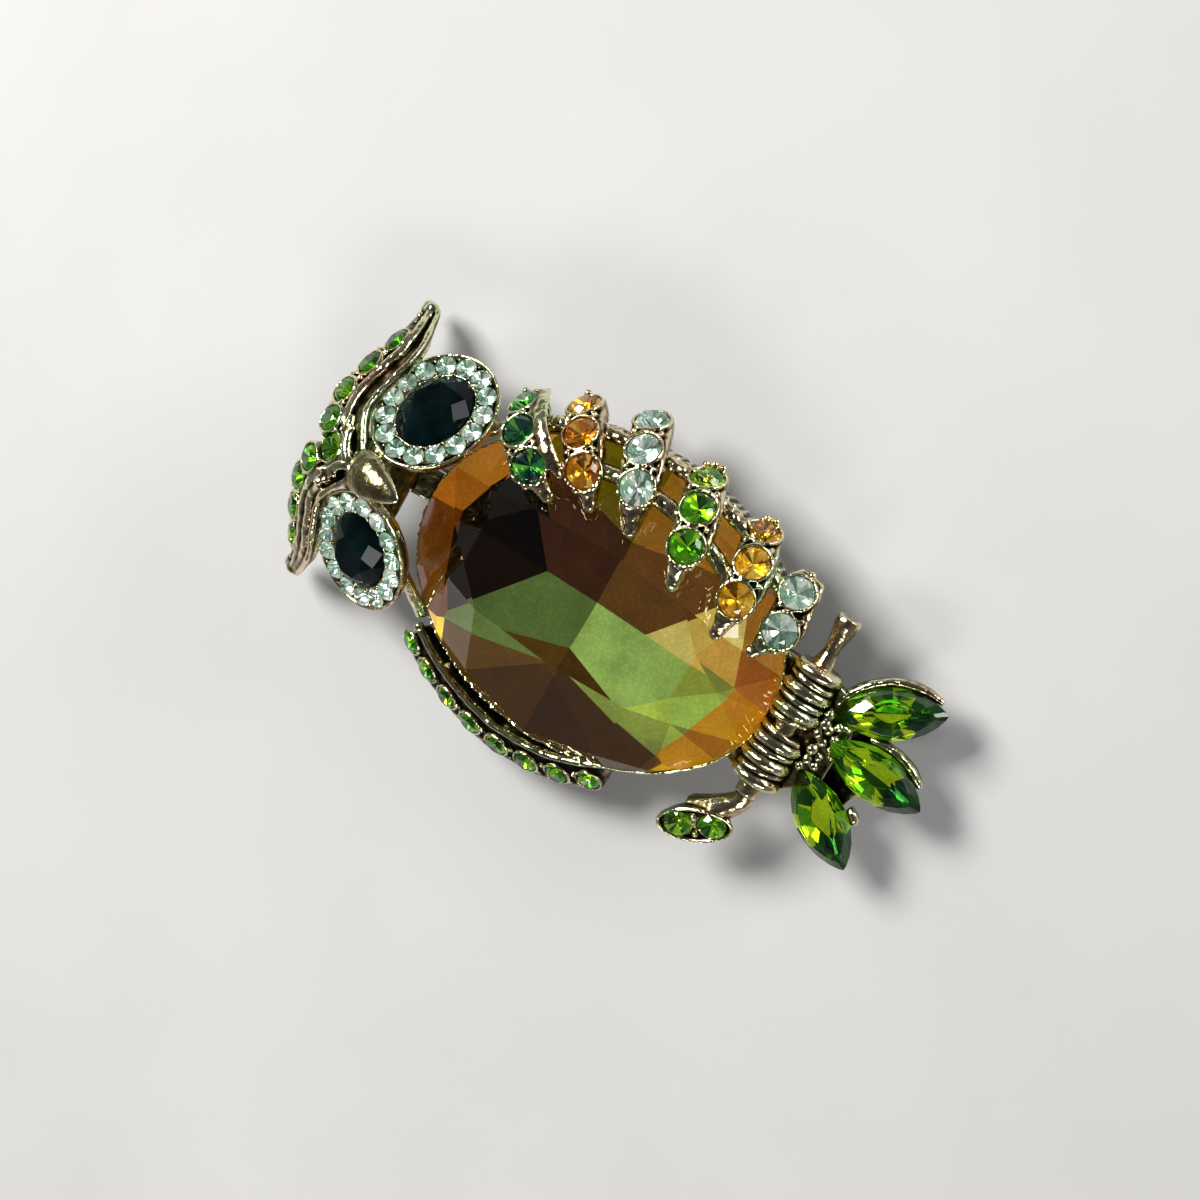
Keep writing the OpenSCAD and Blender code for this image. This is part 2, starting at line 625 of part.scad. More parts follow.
// Perch, toes and the cup at its end
module horn_frame() {
    translate(horn_at) rotate(horn_turn) children();
}
function cup_stone_at(i) = [0, (i - 0.5) * (cup_stone_d + 2 * gap + 0.25), 0.15];
module cup_stone(i) {
    color(OLIVE) horn_frame() translate(cup_stone_at(i)) round_stone(cup_stone_d);
}
module along_perch(x) {
    translate([x, perch_y, perch_z]) rotate([0, 90, 0]) children();
}
module perch() {
    overlap = 0.1;
    neck_at = perch_stub + perch_step - overlap;
    along_perch(perch_start) cylinder(h = perch_stub - perch_start, r = perch_d / 2, $fn = side_n);
    along_perch(perch_stub)
        cylinder(h = perch_step, r1 = perch_d / 2, r2 = perch_d * waist_share, $fn = side_n);
    along_perch(neck_at)
        cylinder(h = perch_end - neck_at, r1 = perch_d * waist_share, r2 = perch_d * flare_share,
            $fn = side_n);
    // stem of the cup, cut off below the cup's opening
    difference() {
        hull() {
            along_perch(perch_start) cylinder(h = 0.8, r = perch_d * stem_share, $fn = side_n);
            horn_frame() translate(stem_foot_at) scale([1, stem_foot_long, 1])
                cylinder(h = stem_foot[1], r = stem_foot[0], $fn = side_n);
        }
        horn_frame() block([12, 12, 8], [0, 0, 3.6]);
    }
    horn_frame() difference() {
        loft([for (r = HORN_RINGS) oval_points(plate_n, horn_half[0] * r[0], horn_half[1] * r[1], r[2])]);
        loft([for (r = HORN_HOLLOW) oval_points(plate_n, horn_half[0] - r[0], horn_half[1] - r[0], r[1])]);
        for (i = [0, 1]) translate(cup_stone_at(i)) round_seat(cup_stone_d);
    }
}
// Rows across a toe: share of its width, share of its radius
TOE_RINGS = [[-0.5, 0.82], [-0.3, 1], [0.3, 1], [0.5, 0.82]];
module toes() {
    // six flat rings round the perch
    for (t = TOES) translate([t * perch_end, perch_y, perch_z]) loft([
        for (row = TOE_RINGS)
            [for (p = oval_points(10, toe_r[0] * row[1], toe_r[1] * row[1])) [toe_w * row[0], p[0], p[1]]]
    ]);
    hull() for (k = [0:2]) block(toe_blocks[k], toe_blocks_at[k]);
}

// Tail
module tail_frame(i) {
    translate([TAIL[i][0], perch_y + TAIL[i][1], tail_z]) rotate([0, tail_droop, TAIL[i][2]]) children();
}
module tail_stone(i) {
    color(OLIVE) tail_frame(i) navette(tail_stone_l, tail_stone_w);
}
// A navette's outline grown on all sides
function navette_grown(grow, z, k = 1) =
    let (l = tail_stone_l + 2 * grow, w = tail_stone_w + 2 * grow)
    [for (p = navette_points(l, w, z, k)) [p[0] - grow, p[1], p[2]]];
module navette_seat() {
    low = -tail_stone_back - gap;
    loft([navette_grown(gap, low, 0.6), navette_grown(gap, -gap), navette_grown(gap, tail_stone_w)]);
}
module tail() {
    for (i = [0:2]) tail_frame(i) {
        loft([navette_grown(0, -tail_seat_t, 0.7), navette_grown(0, -0.3, 0.96)]);
        // rim beside a part of the stone's edge
        intersection() {
            loft([navette_grown(tail_rim, -tail_seat_t, 0.8), navette_grown(tail_rim, 0.2)]);
            rim_l = tail_stone_l * (TAIL[i][4] - TAIL[i][3]) + tail_rim_lead;
            translate([tail_stone_l * TAIL[i][3] - tail_rim_lead, 0, -tail_seat_t])
                cube([rim_l, tail_stone_w, tail_seat_t + 1]);
        }
    }
    // webs between the stones
    for (i = [0, 1]) hull() for (k = [i, i + 1])
        tail_frame(k) block(web_block, [tail_stone_l * web_share, 0, web_raise - tail_seat_t]);
}

module metal() {
    color(GOLD) {
        stone_cup();
        feathered_wing();
        folded_wing();
        head();
        perch();
        difference() {
            union() {
                toes();
                tail();
            }
            stone_room();
            for (i = [0:2]) tail_frame(i) navette_seat();
        }
    }
}

// Pin: a flat bar with a hinge block, a catch and the closed stem, in one piece
module pin_back() {
    bar_t = 0.9;
    bar_low = -stone_back - cup_wall - gap - pin_gap - bar_t;
    stem_z = -rest_z + stem_clear + pin_d / 2;
    block_low = stem_z - pin_d / 2 - block_below;
    end_y = pin_bar_l / 2 - block_in;
    stem_l = 2 * end_y + block_l - stem_short;
    color(GOLD) translate([0, pin_y, 0]) {
        translate([-pin_bar_w / 2, -pin_bar_l / 2, bar_low]) cube([pin_bar_w, pin_bar_l, bar_t]);
        for (s = [-1, 1]) translate([-block_w / 2, s * end_y - block_l / 2, block_low])
            cube([block_w, block_l, bar_low - block_low + block_sunk]);
        translate([0, -stem_l / 2, stem_z]) rotate([-90, 0, 0])
            cylinder(h = stem_l, r = pin_d / 2, $fn = 32);
    }
}

module place() {
    translate(-middle) children();
}
place() metal();
place() pin_back();
place() body_stone();
place() eye_stone(-1);  // eye_stone_left
place() eye_stone(1);  // eye_stone_right
place() halo(-1);  // halo_left
place() halo(1);  // halo_right
for (i = [0:8]) place() brow_stone(i);
for (f = [0:5], k = [0:FEATHERS[f][3] - 1])
    place() feather_stone(f, k);
place() side_stones();
for (i = [0, 1]) place() cup_stone(i);
place() tail_stone(0);  // tail_stone_left
place() tail_stone(1);  // tail_stone_middle
place() tail_stone(2);  // tail_stone_right
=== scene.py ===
import math
import random

import bmesh
import bpy
import numpy as np
from mathutils import Matrix, noise


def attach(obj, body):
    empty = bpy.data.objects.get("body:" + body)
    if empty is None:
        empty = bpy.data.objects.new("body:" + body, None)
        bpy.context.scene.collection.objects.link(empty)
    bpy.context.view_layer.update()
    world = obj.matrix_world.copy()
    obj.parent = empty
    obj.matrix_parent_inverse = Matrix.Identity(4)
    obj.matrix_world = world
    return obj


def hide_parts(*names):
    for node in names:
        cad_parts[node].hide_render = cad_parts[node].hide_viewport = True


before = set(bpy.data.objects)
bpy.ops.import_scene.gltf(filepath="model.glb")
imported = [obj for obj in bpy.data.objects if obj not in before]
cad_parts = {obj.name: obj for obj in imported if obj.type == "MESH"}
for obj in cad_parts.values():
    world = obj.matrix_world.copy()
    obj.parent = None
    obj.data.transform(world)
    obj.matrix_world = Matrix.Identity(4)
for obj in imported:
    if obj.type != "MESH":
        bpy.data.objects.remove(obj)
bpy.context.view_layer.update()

# All shapes are built in millimetres in the owl's own frame: origin at the body stone's middle, +Y to the
# head, +X to the feathered wing, +Z out of the front. MIDDLE is the row frame's origin in that frame.
MM = 0.001
MIDDLE = np.array([0.29904, -1.75606, -7.99])
random.seed(7)

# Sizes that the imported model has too: _L is a length, _W a width, _D a diameter, _T a thickness
STONE_L, STONE_W, STONE_CROWN, STONE_BACK, GIRDLE_T = 40.0, 30.0, 5.5, 4.0, 0.6
HALF_L, HALF_W = STONE_L / 2, STONE_W / 2
EYE_L, EYE_W, HALO_D, BROW_D, WING_D = 8.8, 6.9, 2.0, 2.8, 3.4
SIDE_D, CUP_D, TAIL_L, TAIL_W, TAIL_BACK = 2.4, 3.0, 10.8, 5.2, 1.3
CUP_WALL, BEZEL, WALL_T, GAP, RAIL_D, PERCH_D = 0.85, 0.4, 1.4, 0.07, 1.7, 2.4
REST_Z = MIDDLE[2]  # height of the surface that the brooch lies on
WING_SHARE = 1.08  # outline of the wings' walls as a share of the body stone's


# ------------------------ small maths
def unit(v):
    v = np.asarray(v, float)
    return v / np.linalg.norm(v)


def lerp(a, b, t):
    return a * (1 - t) + b * t


def along(table, t):
    """Value at t in a table of (t, value) rows."""
    return float(np.interp(t, [r[0] for r in table], [r[1] for r in table]))


def taper(count, shares, values):
    """Values for count points of a path, from those at some shares of its length."""
    return np.interp(np.linspace(0, 1, count), shares, values)


def sin(a):
    return math.sin(math.radians(a))


def cos(a):
    return math.cos(math.radians(a))


def turned(axis, angle):
    return np.array(Matrix.Rotation(math.radians(angle), 4, axis))


def moved(at):
    m = np.eye(4)
    m[:3, 3] = at
    return m


def face_along(at, direction, turn=0):
    """Frame at a point with its Z along a direction and its X near the heading turn."""
    d = unit(direction)
    azimuth = math.degrees(math.atan2(d[1], d[0]))
    return (moved(at) @ turned("Z", azimuth) @ turned("Y", math.degrees(math.acos(d[2])))
            @ turned("Z", turn - azimuth))


def apply(m, p):
    return np.asarray(p, float) @ m[:3, :3].T + m[:3, 3]


def oval(n, a, b, z=0.0, start=0.0):
    t = np.radians(start + 360 * np.arange(n) / n)
    return np.stack([a * np.cos(t), b * np.sin(t), np.full(n, z)], 1)


def outline(t, share, out, z):
    """Point at angle t beside the body stone: at a share of its outline, plus out in mm."""
    return np.array([(HALF_W * share + out) * cos(t), (HALF_L * share + out) * sin(t), z])


def smooth_path(points, per):
    """A smooth curve through points, with per steps between each two."""
    p = np.asarray(points, float)
    p = np.concatenate([[2 * p[0] - p[1]], p, [2 * p[-1] - p[-2]]])
    out = []
    for a, b, c, d in zip(p, p[1:], p[2:], p[3:]):
        for t in np.arange(per) / per:
            out.append(0.5 * (2 * b + (c - a) * t + (2 * a - 5 * b + 4 * c - d) * t * t
                              + (3 * b - a - 3 * c + d) * t ** 3))
    return np.array(out + [p[-2]])


# ------------------------ shapes
BALL_ANGLES = (8, 32, 58, 90, 122, 148, 172)  # of a ball's rings, from its lower pole


class Shape:
    """Vertices and faces gathered from simple closed forms, in the owl's frame."""

    def __init__(self):
        self.v, self.f, self.n = [], [], 0

    def add(self, verts, faces, m=None):
        verts = np.asarray(verts, float).reshape(-1, 3)
        if m is not None:
            verts = apply(m, verts)
        self.v.append(verts)
        self.f += [tuple(i + self.n for i in f) for f in faces]
        self.n += len(verts)
        return self

    def loft(self, rings, m=None, loop=False):
        k, n = len(rings), len(rings[0])
        faces = [(r * n + i, (r + 1) % k * n + i, (r + 1) % k * n + (i + 1) % n, r * n + (i + 1) % n)
                 for r in range(k if loop else k - 1) for i in range(n)]
        if not loop:
            faces += [tuple(range(n)), tuple((k - 1) * n + i for i in range(n - 1, -1, -1))]
        return self.add(np.concatenate(rings), faces, m)

    def ball(self, at, r, m=None, scale=(1, 1, 1)):
        return self.loft([oval(10, r * sin(a), r * sin(a), -r * cos(a)) * scale + at for a in BALL_ANGLES], m)

    def tube(self, path, radius, m=None, n=10, loop=False, flat=1.0, up=None):
        """A tube of round or flattened section; up keeps its flat side level, else it isn't twisted."""
        path = np.asarray(path, float)
        k = len(path)
        radius = np.broadcast_to(radius, k)
        t = 2 * np.pi * np.arange(n) / n
        rings, side = [], None
        for i in range(k):
            a = path[(i - 1) % k if loop else max(0, i - 1)]
            b = path[(i + 1) % k if loop else min(k - 1, i + 1)]
            run = unit(b - a)
            if up is not None:
                side = unit(np.cross(up, run))
            elif side is None:
                side = unit(np.cross(run, (0.1, 0.2, 1) if abs(run[2]) < 0.9 else (1, 0, 0)))
            else:
                side = unit(side - run * (side @ run))
            rise = np.cross(run, side)
            rings.append(path[i] + radius[i] * (np.cos(t)[:, None] * side + flat * np.sin(t)[:, None] * rise))
        return self.loft(rings, m, loop)

    def bezel(self, m, half_l, half_w, wire, steps, flat=1.0, z=0.0):
        """A loop of wire round a stone."""
        return self.tube(oval(steps, half_l, half_w, z), wire, m, n=8, loop=True, flat=flat)

    def hull(self, *groups):
        """The convex hull of groups of points."""
        bm = bmesh.new()
        for p in np.concatenate(groups):
            bm.verts.new(p)
        made = bmesh.ops.convex_hull(bm, input=bm.verts[:])
        spare = [e for e in made["geom_interior"] + made["geom_unused"] if isinstance(e, bmesh.types.BMVert)]
        bmesh.ops.delete(bm, geom=list(set(spare)), context="VERTS")
        bm.verts.index_update()
        self.add([v.co[:] for v in bm.verts], [tuple(v.index for v in f.verts) for f in bm.faces])
        bm.free()
        return self


def box_points(size, at):
    return [(at[0] + x * size[0] / 2, at[1] + y * size[1] / 2, at[2] + z * size[2] / 2)
            for x in (-1, 1) for y in (-1, 1) for z in (-1, 1)]


def cyl_points(r, h, at):
    return np.concatenate([oval(12, r, r, 0), oval(12, r, r, h)]) + at


# ------------------------ shader nodes
def new_tree(name):
    mat = bpy.data.materials.new(name)
    mat.use_nodes = True
    mat.node_tree.nodes.clear()
    return mat, mat.node_tree


def node(tree, kind, inputs=None, **settings):
    """A node with its settings; each input takes a value or another node's output."""
    n = tree.nodes.new(kind)
    for k, v in settings.items():
        setattr(n, k, v)
    for k, v in (inputs or {}).items():
        if isinstance(v, bpy.types.NodeSocket):
            tree.links.new(v, n.inputs[k])
        else:
            n.inputs[k].default_value = v
    return n


def cloud(tree, scale, detail):
    where = node(tree, "ShaderNodeTexCoord").outputs["Object"]
    n = node(tree, "ShaderNodeTexNoise", {"Vector": where, "Scale": scale, "Detail": detail})
    return n.outputs["Fac"]


def ramp(tree, fac, stops):
    """Colour from a factor; a stop's colour is three numbers, or one for a grey."""
    n = node(tree, "ShaderNodeValToRGB", {0: fac})
    els = n.color_ramp.elements
    while len(els) < len(stops):
        els.new(0.5)
    for e, (p, c) in zip(els, stops):
        e.position = p
        e.color = (*(c if isinstance(c, tuple) else (c,) * 3), 1)
    return n.outputs[0]


def linear(tree, value, factor, offset):
    """value * factor + offset"""
    return node(tree, "ShaderNodeMath", {0: value, 1: factor, 2: offset}, operation="MULTIPLY_ADD").outputs[0]


def limited_sum(tree, a, b):
    return node(tree, "ShaderNodeMath", {0: a, 1: b}, operation="ADD", use_clamp=True).outputs[0]


def product(tree, a, b):
    n = node(tree, "ShaderNodeMix", {0: 1.0, 6: a, 7: b}, data_type="RGBA", blend_type="MULTIPLY")
    return n.outputs[2]


def attribute(tree, name, output):
    return node(tree, "ShaderNodeAttribute", attribute_name=name).outputs[output]


def bump(tree, height, strength, distance, **more):
    return node(tree, "ShaderNodeBump", {"Height": height, "Strength": strength, "Distance": distance,
                                         **more}).outputs[0]


def surface(tree, inputs):
    shader = node(tree, "ShaderNodeBsdfPrincipled", inputs)
    node(tree, "ShaderNodeOutputMaterial", {"Surface": shader.outputs[0]})


# ------------------------ materials
# Painted reflections: rosy and greenish tints laid over the metal in broad patches
PAINTED_REFLECTION_TINTS = [(0.34, (1.0, 0.82, 0.74)), (0.46, (1.0, 0.95, 0.86)), (0.64, (0.84, 1.0, 0.82))]


def metal_material(name, bright, mid, dark, smoothest, bias):
    """Antiqued metal: bright on its worn edges, dark with patina and painted shade in its hollows and low
    places, and in rosy to greenish patches of painted reflection. smoothest is the roughness where it is
    brightest, and bias darkens it all over."""
    mat, tree = new_tree(name)
    grain = cloud(tree, scale=2600.0, detail=3.0)
    spread = linear(tree, cloud(tree, scale=420.0, detail=4.0), factor=0.34, offset=bias - 0.17)
    # patina and painted shade from the mesh, spread by patches of random tone
    fac = limited_sum(tree, attribute(tree, "patina_and_shade", "Fac"), spread)
    fac = limited_sum(tree, fac, linear(tree, grain, factor=0.2, offset=-0.1))
    patina_and_shade_colour = ramp(tree, fac, [(0.0, bright), (0.35, mid), (0.75, dark), (1.0, tuple(c * 0.35 for c in dark))])
    # painted reflections: rosy and greenish patches
    painted_reflections = ramp(tree, cloud(tree, scale=150.0, detail=2.0), PAINTED_REFLECTION_TINTS)
    dents = bump(tree, cloud(tree, scale=1100.0, detail=2.0), strength=0.6, distance=0.00022)
    surface(tree, {"Base Color": product(tree, patina_and_shade_colour, painted_reflections), "Metallic": 1.0,
                   "Roughness": linear(tree, fac, factor=0.38, offset=smoothest),
                   "Normal": bump(tree, grain, strength=0.35, distance=0.00005, Normal=dents)})
    return mat


def glass_material(name, tint):
    """The clear upper part of a cut stone, coloured a little unevenly."""
    mat, tree = new_tree(name)
    haze = cloud(tree, scale=160.0, detail=2.0)
    shade = ramp(tree, haze, [(0.3, tuple(c * 0.9 for c in tint)), (0.7, tint)])
    waves = bump(tree, cloud(tree, scale=700.0, detail=2.0), strength=0.03, distance=0.00002)
    surface(tree, {"Base Color": product(tree, shade, attribute(tree, "tint", "Color")), "Roughness": 0.0,
                   "IOR": 1.56, "Transmission Weight": 1.0, "Normal": waves})
    return mat


def foil_material(name, rough, glow, mirror):
    """The mirrored back of a cut stone: each facet carries its own tint, and a glow in that tint, a painted
    reflection, makes up for the room that a real stone would mirror; a fine speckle in it paints sparkle."""
    mat, tree = new_tree(name)
    where = node(tree, "ShaderNodeTexCoord").outputs["Object"]
    # painted sparkle: small spots where the glow and colour are brighter
    grain = node(tree, "ShaderNodeTexVoronoi", {"Vector": where, "Scale": 2600.0}).outputs["Distance"]
    haze = cloud(tree, scale=260.0, detail=3.0)
    shaded = product(tree, attribute(tree, "tint", "Color"), ramp(tree, haze, [(0.3, 0.78), (0.65, 1.0)]))
    colour = product(tree, shaded, ramp(tree, grain, [(0.1, 1.0), (0.6, 0.80)]))
    mirrored = product(tree, colour, ramp(tree, haze, [(0.3, mirror * 0.8), (0.65, mirror)]))
    surface(tree, {"Base Color": mirrored, "Metallic": 1.0, "Roughness": rough,
                   "Normal": bump(tree, haze, strength=0.05, distance=0.00005),
                   "Emission Color": colour, "Emission Strength": glow})
    return mat


def black_glass():
    mat, tree = new_tree("black_glass")
    haze = cloud(tree, scale=260.0, detail=3.0)
    colour = ramp(tree, haze, [(0.35, (0.0006, 0.0012, 0.0015)), (0.75, (0.002, 0.009, 0.010))])
    surface(tree, {"Base Color": colour, "Roughness": 0.03, "IOR": 1.19,
                   "Normal": bump(tree, haze, strength=0.03, distance=0.00005)})
    return mat


GOLD = metal_material("antique_gold", (0.86, 0.84, 0.60), (0.27, 0.215, 0.12), (0.016, 0.011, 0.007),
                      smoothest=0.10, bias=0.09)
PIN_METAL = metal_material("pin_metal", (0.80, 0.72, 0.50), (0.55, 0.45, 0.28), (0.2, 0.15, 0.09),
                           smoothest=0.25, bias=0.2)
AMBER = (0.98, 0.86, 0.55)
AMBER_GLASS = glass_material("amber_glass", AMBER)
OLIVE_GLASS = glass_material("olive_glass", (0.46, 0.74, 0.10))
HONEY_GLASS = glass_material("honey_glass", (0.92, 0.66, 0.17))
TEAL_GLASS = glass_material("teal_glass", (0.26, 0.62, 0.30))
GOLD_GLASS = glass_material("gold_glass", (1.0, 0.80, 0.20))
LEAF_GLASS = glass_material("leaf_glass", (0.44, 0.74, 0.13))
PALE_GLASS = glass_material("pale_glass", (0.90, 0.99, 0.95))
BLACK_GLASS = black_glass()
BODY_FOIL = foil_material("body_foil", rough=0.35, glow=1.0, mirror=0.22)
SMALL_FOIL = foil_material("small_foil", rough=0.10, glow=0.42, mirror=1.0)


# ------------------------ from shape to piece
def to_row(v):
    return (np.asarray(v) - MIDDLE) * MM


def linked(name, data):
    obj = bpy.data.objects.new(name, data)
    bpy.context.collection.objects.link(obj)
    return obj


def object_of(name, verts, faces, mats):
    mesh = bpy.data.meshes.new(name)
    mesh.from_pydata([tuple(p) for p in verts], [], faces)
    mesh.update()
    for mat in mats:
        mesh.materials.append(mat)
    return linked(name, mesh)


def face_out(mesh):
    """Turns all faces of closed forms outward."""
    bm = bmesh.new()
    bm.from_mesh(mesh)
    bmesh.ops.recalc_face_normals(bm, faces=bm.faces[:])
    bm.to_mesh(mesh)
    bm.free()


def set_tints(mesh, tints):
    """Writes one tint per face."""
    layer = mesh.attributes.new("tint", "FLOAT_COLOR", "CORNER")
    values = [(*t, 1.0) for poly, t in zip(mesh.polygons, tints) for _ in poly.vertices]
    layer.data.foreach_set("color", np.array(values, float).ravel())


def read(items, key, width, kind=float):
    values = np.empty(len(items) * width, dtype=kind)
    items.foreach_get(key, values)
    return values.reshape(-1, width)


def set_points(mesh, v):
    mesh.vertices.foreach_set("co", v.ravel())
    mesh.update()


def smoothed(v, e, times):
    """Moves each vertex half way to the mean of its neighbours, some times over."""
    n = len(v)
    count = np.maximum(np.bincount(e.ravel(), minlength=n), 1)[:, None]
    for _ in range(times):
        total = np.stack([np.bincount(e[:, 0], v[e[:, 1], k], n) + np.bincount(e[:, 1], v[e[:, 0], k], n)
                          for k in range(3)], 1)
        v = v + 0.5 * (total / count - v)
    return v


# A seat is the room that a stone needs in the metal: (frame, half length, half width, depth)
SEAT_DEPTH = 0.36  # of a round stone, as a share of its diameter
SEAT_CLEAR = 0.1  # from a seat's floor to the stone
SEAT_CORE = 0.55  # metal above a stone within this share of its radius goes below it, not beside it


def round_seat(m, d, room):
    return m, d / 2 + room, d / 2 + room, d * SEAT_DEPTH


def carve(v, seats):
    """Moves metal out of the seats."""
    for m, a, b, deep in seats:
        p = apply(np.linalg.inv(m), v)
        rho = np.sqrt((p[:, 0] / a) ** 2 + (p[:, 1] / b) ** 2)
        inside = (rho < 1) & (p[:, 2] > -deep) & (p[:, 2] < b)
        floor = -deep * (1 - rho) - SEAT_CLEAR
        above = inside & (p[:, 2] >= 0.0)
        core = above & (rho < SEAT_CORE)
        beside = above & ~core
        below = core | (inside & (p[:, 2] < 0.0) & (p[:, 2] > floor))
        p[beside, :2] *= (1 / np.maximum(rho, 0.05))[beside, None]
        p[below, 2] = floor[below]
        change = beside | below
        v[change] = apply(m, p[change])
    return v


# Darkening, patina and painted shade, starts from TARNISH. A dimple of DIMPLE mm or a wider hollow of HOLLOW
# mm adds FROM_HOLLOW of patina and painted shade, and a low place adds painted shade of up to FROM_LOW, from
# the height LOW_TOP to LOW_REACH mm below it
TARNISH, FROM_HOLLOW, FROM_LOW = 0.34, 0.75, 0.45
DIMPLE, HOLLOW, LOW_TOP, LOW_REACH = 0.05, 0.22, 1.0, 8.0


def cast(name, shape, voxel, hammer, dent, smooth=1, seats=(), dark=0.0, sharp=1.0):
    """One cast piece of metal: the shape fused into a single skin, softened, hammered in dents of a given
    size and carved out for its stones; darkened by patina and painted shade in its hollows, painted shade on
    low places, and painted shade from dark over the whole piece (painted light where dark is below 0)."""
    obj = object_of(name, np.concatenate(shape.v), shape.f, [])
    fuse = obj.modifiers.new("cast", "REMESH")
    fuse.mode = "VOXEL"
    fuse.voxel_size = voxel
    mesh = bpy.data.meshes.new_from_object(obj.evaluated_get(bpy.context.evaluated_depsgraph_get()))
    obj.modifiers.clear()
    loose, obj.data = obj.data, mesh
    bpy.data.meshes.remove(loose)
    e = read(mesh.edges, "vertices", 2, np.int32)
    v = smoothed(read(mesh.vertices, "co", 3), e, smooth)
    set_points(mesh, v)
    push = np.array([noise.noise(p / dent) for p in v]) * hammer
    v = carve(v + read(mesh.vertices, "normal", 3) * push[:, None], seats)
    set_points(mesh, v)
    n = read(mesh.vertices, "normal", 3)
    near, wide = smoothed(v, e, 4), smoothed(v, e, 40)
    # patina and painted shade: darker in dimples and wider hollows
    hollow = ((near - v) * n).sum(1) / DIMPLE + ((wide - v) * n).sum(1) / HOLLOW
    # painted shade: darker on low places
    low = np.clip((LOW_TOP - v[:, 2]) / LOW_REACH, 0, 1)
    # dark: painted shade on the whole piece above 0, painted light below 0
    patina_and_shade_level = np.clip(TARNISH + FROM_HOLLOW * sharp * hollow + FROM_LOW * low + dark, 0, 1)
    mesh.attributes.new("patina_and_shade", "FLOAT", "POINT").data.foreach_set("value", patina_and_shade_level)
    mesh.materials.append(GOLD)
    mesh.polygons.foreach_set("use_smooth", [True] * len(mesh.polygons))
    set_points(mesh, to_row(v))
    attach(obj, "root")
    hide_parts("metal")
    return obj


# ------------------------ the body stone's front, which feathers follow
CORNERS = [(0.42, 0.0), (0.385, 0.445), (0.16, 0.61)]  # of the table, as shares of half the stone
MAIN_ANGLES = [0, 42, 75]  # where the main facets meet the girdle


def main_slope(k):
    a = MAIN_ANGLES[k]
    return 1 / (1 - CORNERS[k][0] * cos(a) - CORNERS[k][1] * sin(a))


def main_height(k, x, y):
    a = MAIN_ANGLES[k]
    return main_slope(k) * (1 - abs(x) * cos(a) - abs(y) * sin(a))


def crown_z(x, y):
    return STONE_CROWN * min(1, *[main_height(k, x / HALF_W, y / HALF_L) for k in range(3)])


def meet_x(k, y):
    """Where main facets k and k + 1 meet at y."""
    a, b, p, q = MAIN_ANGLES[k], MAIN_ANGLES[k + 1], main_slope(k), main_slope(k + 1)
    return (p - q - (p * sin(a) - q * sin(b)) * y) / (p * cos(a) - q * cos(b))


# ------------------------ metal: cup behind the body stone
RIM_OUT = 0.35
LUG_ANGLES = (-38, -8, 24, 152, 176, 198)


def make_cup():
    wall, deep = CUP_WALL + GAP, STONE_BACK + GAP
    # outside from the middle to the rim, then inside: share of the stone's outline, mm beyond it, height
    rows = [(0.30, 0, -deep - CUP_WALL), (0.61, 0, -deep - CUP_WALL),
            (0.75, wall * 0.5, -deep * 0.78 - wall * 0.8), (0.88, wall, -deep * 0.52 - wall * 0.8),
            (0.97, wall * 0.7, -deep * 0.36), (1, GAP + RIM_OUT, -GIRDLE_T * 0.7),
            (1, GAP + RIM_OUT * 0.6, -GIRDLE_T * 0.35), (1, GAP, -GIRDLE_T * 0.6),
            (0.97, GAP, -GIRDLE_T * 1.6), (0.88, GAP, -deep * 0.5 - GAP), (0.50, 0, -deep)]
    shape = Shape().loft([oval(120, HALF_W * k + grow, HALF_L * k + grow, z) for k, grow, z in rows])
    for t in LUG_ANGLES:  # lugs to the wings' walls
        z = -STONE_BACK * 0.72
        shape.hull(box_points((2, 2, 1), outline(t, 0.86, 0, z)),
                   box_points((1, 2, 1.4), outline(t, 1.03, 0, z)))
    cast("cup_metal", shape, voxel=0.30, hammer=0.03, dent=2.0, dark=0.22)


# ------------------------ metal: feathers and their wing
FEATHER_DEPTH, TIP_T, BEND_R = 2.5, 0.95, 7.6
# shares of FEATHER_HALF along a feather's length
FEATHER_WIDTHS = [(0, 0.14), (0.1, 0.42), (0.2, 0.74), (0.34, 0.98), (0.5, 1), (0.7, 1), (0.86, 0.94),
                  (1, 0.66)]
PITCH = WING_D + 2 * GAP + 0.4  # from stone to stone of a feather
FEATHER_HALF = WING_D / 2 + GAP + BEZEL


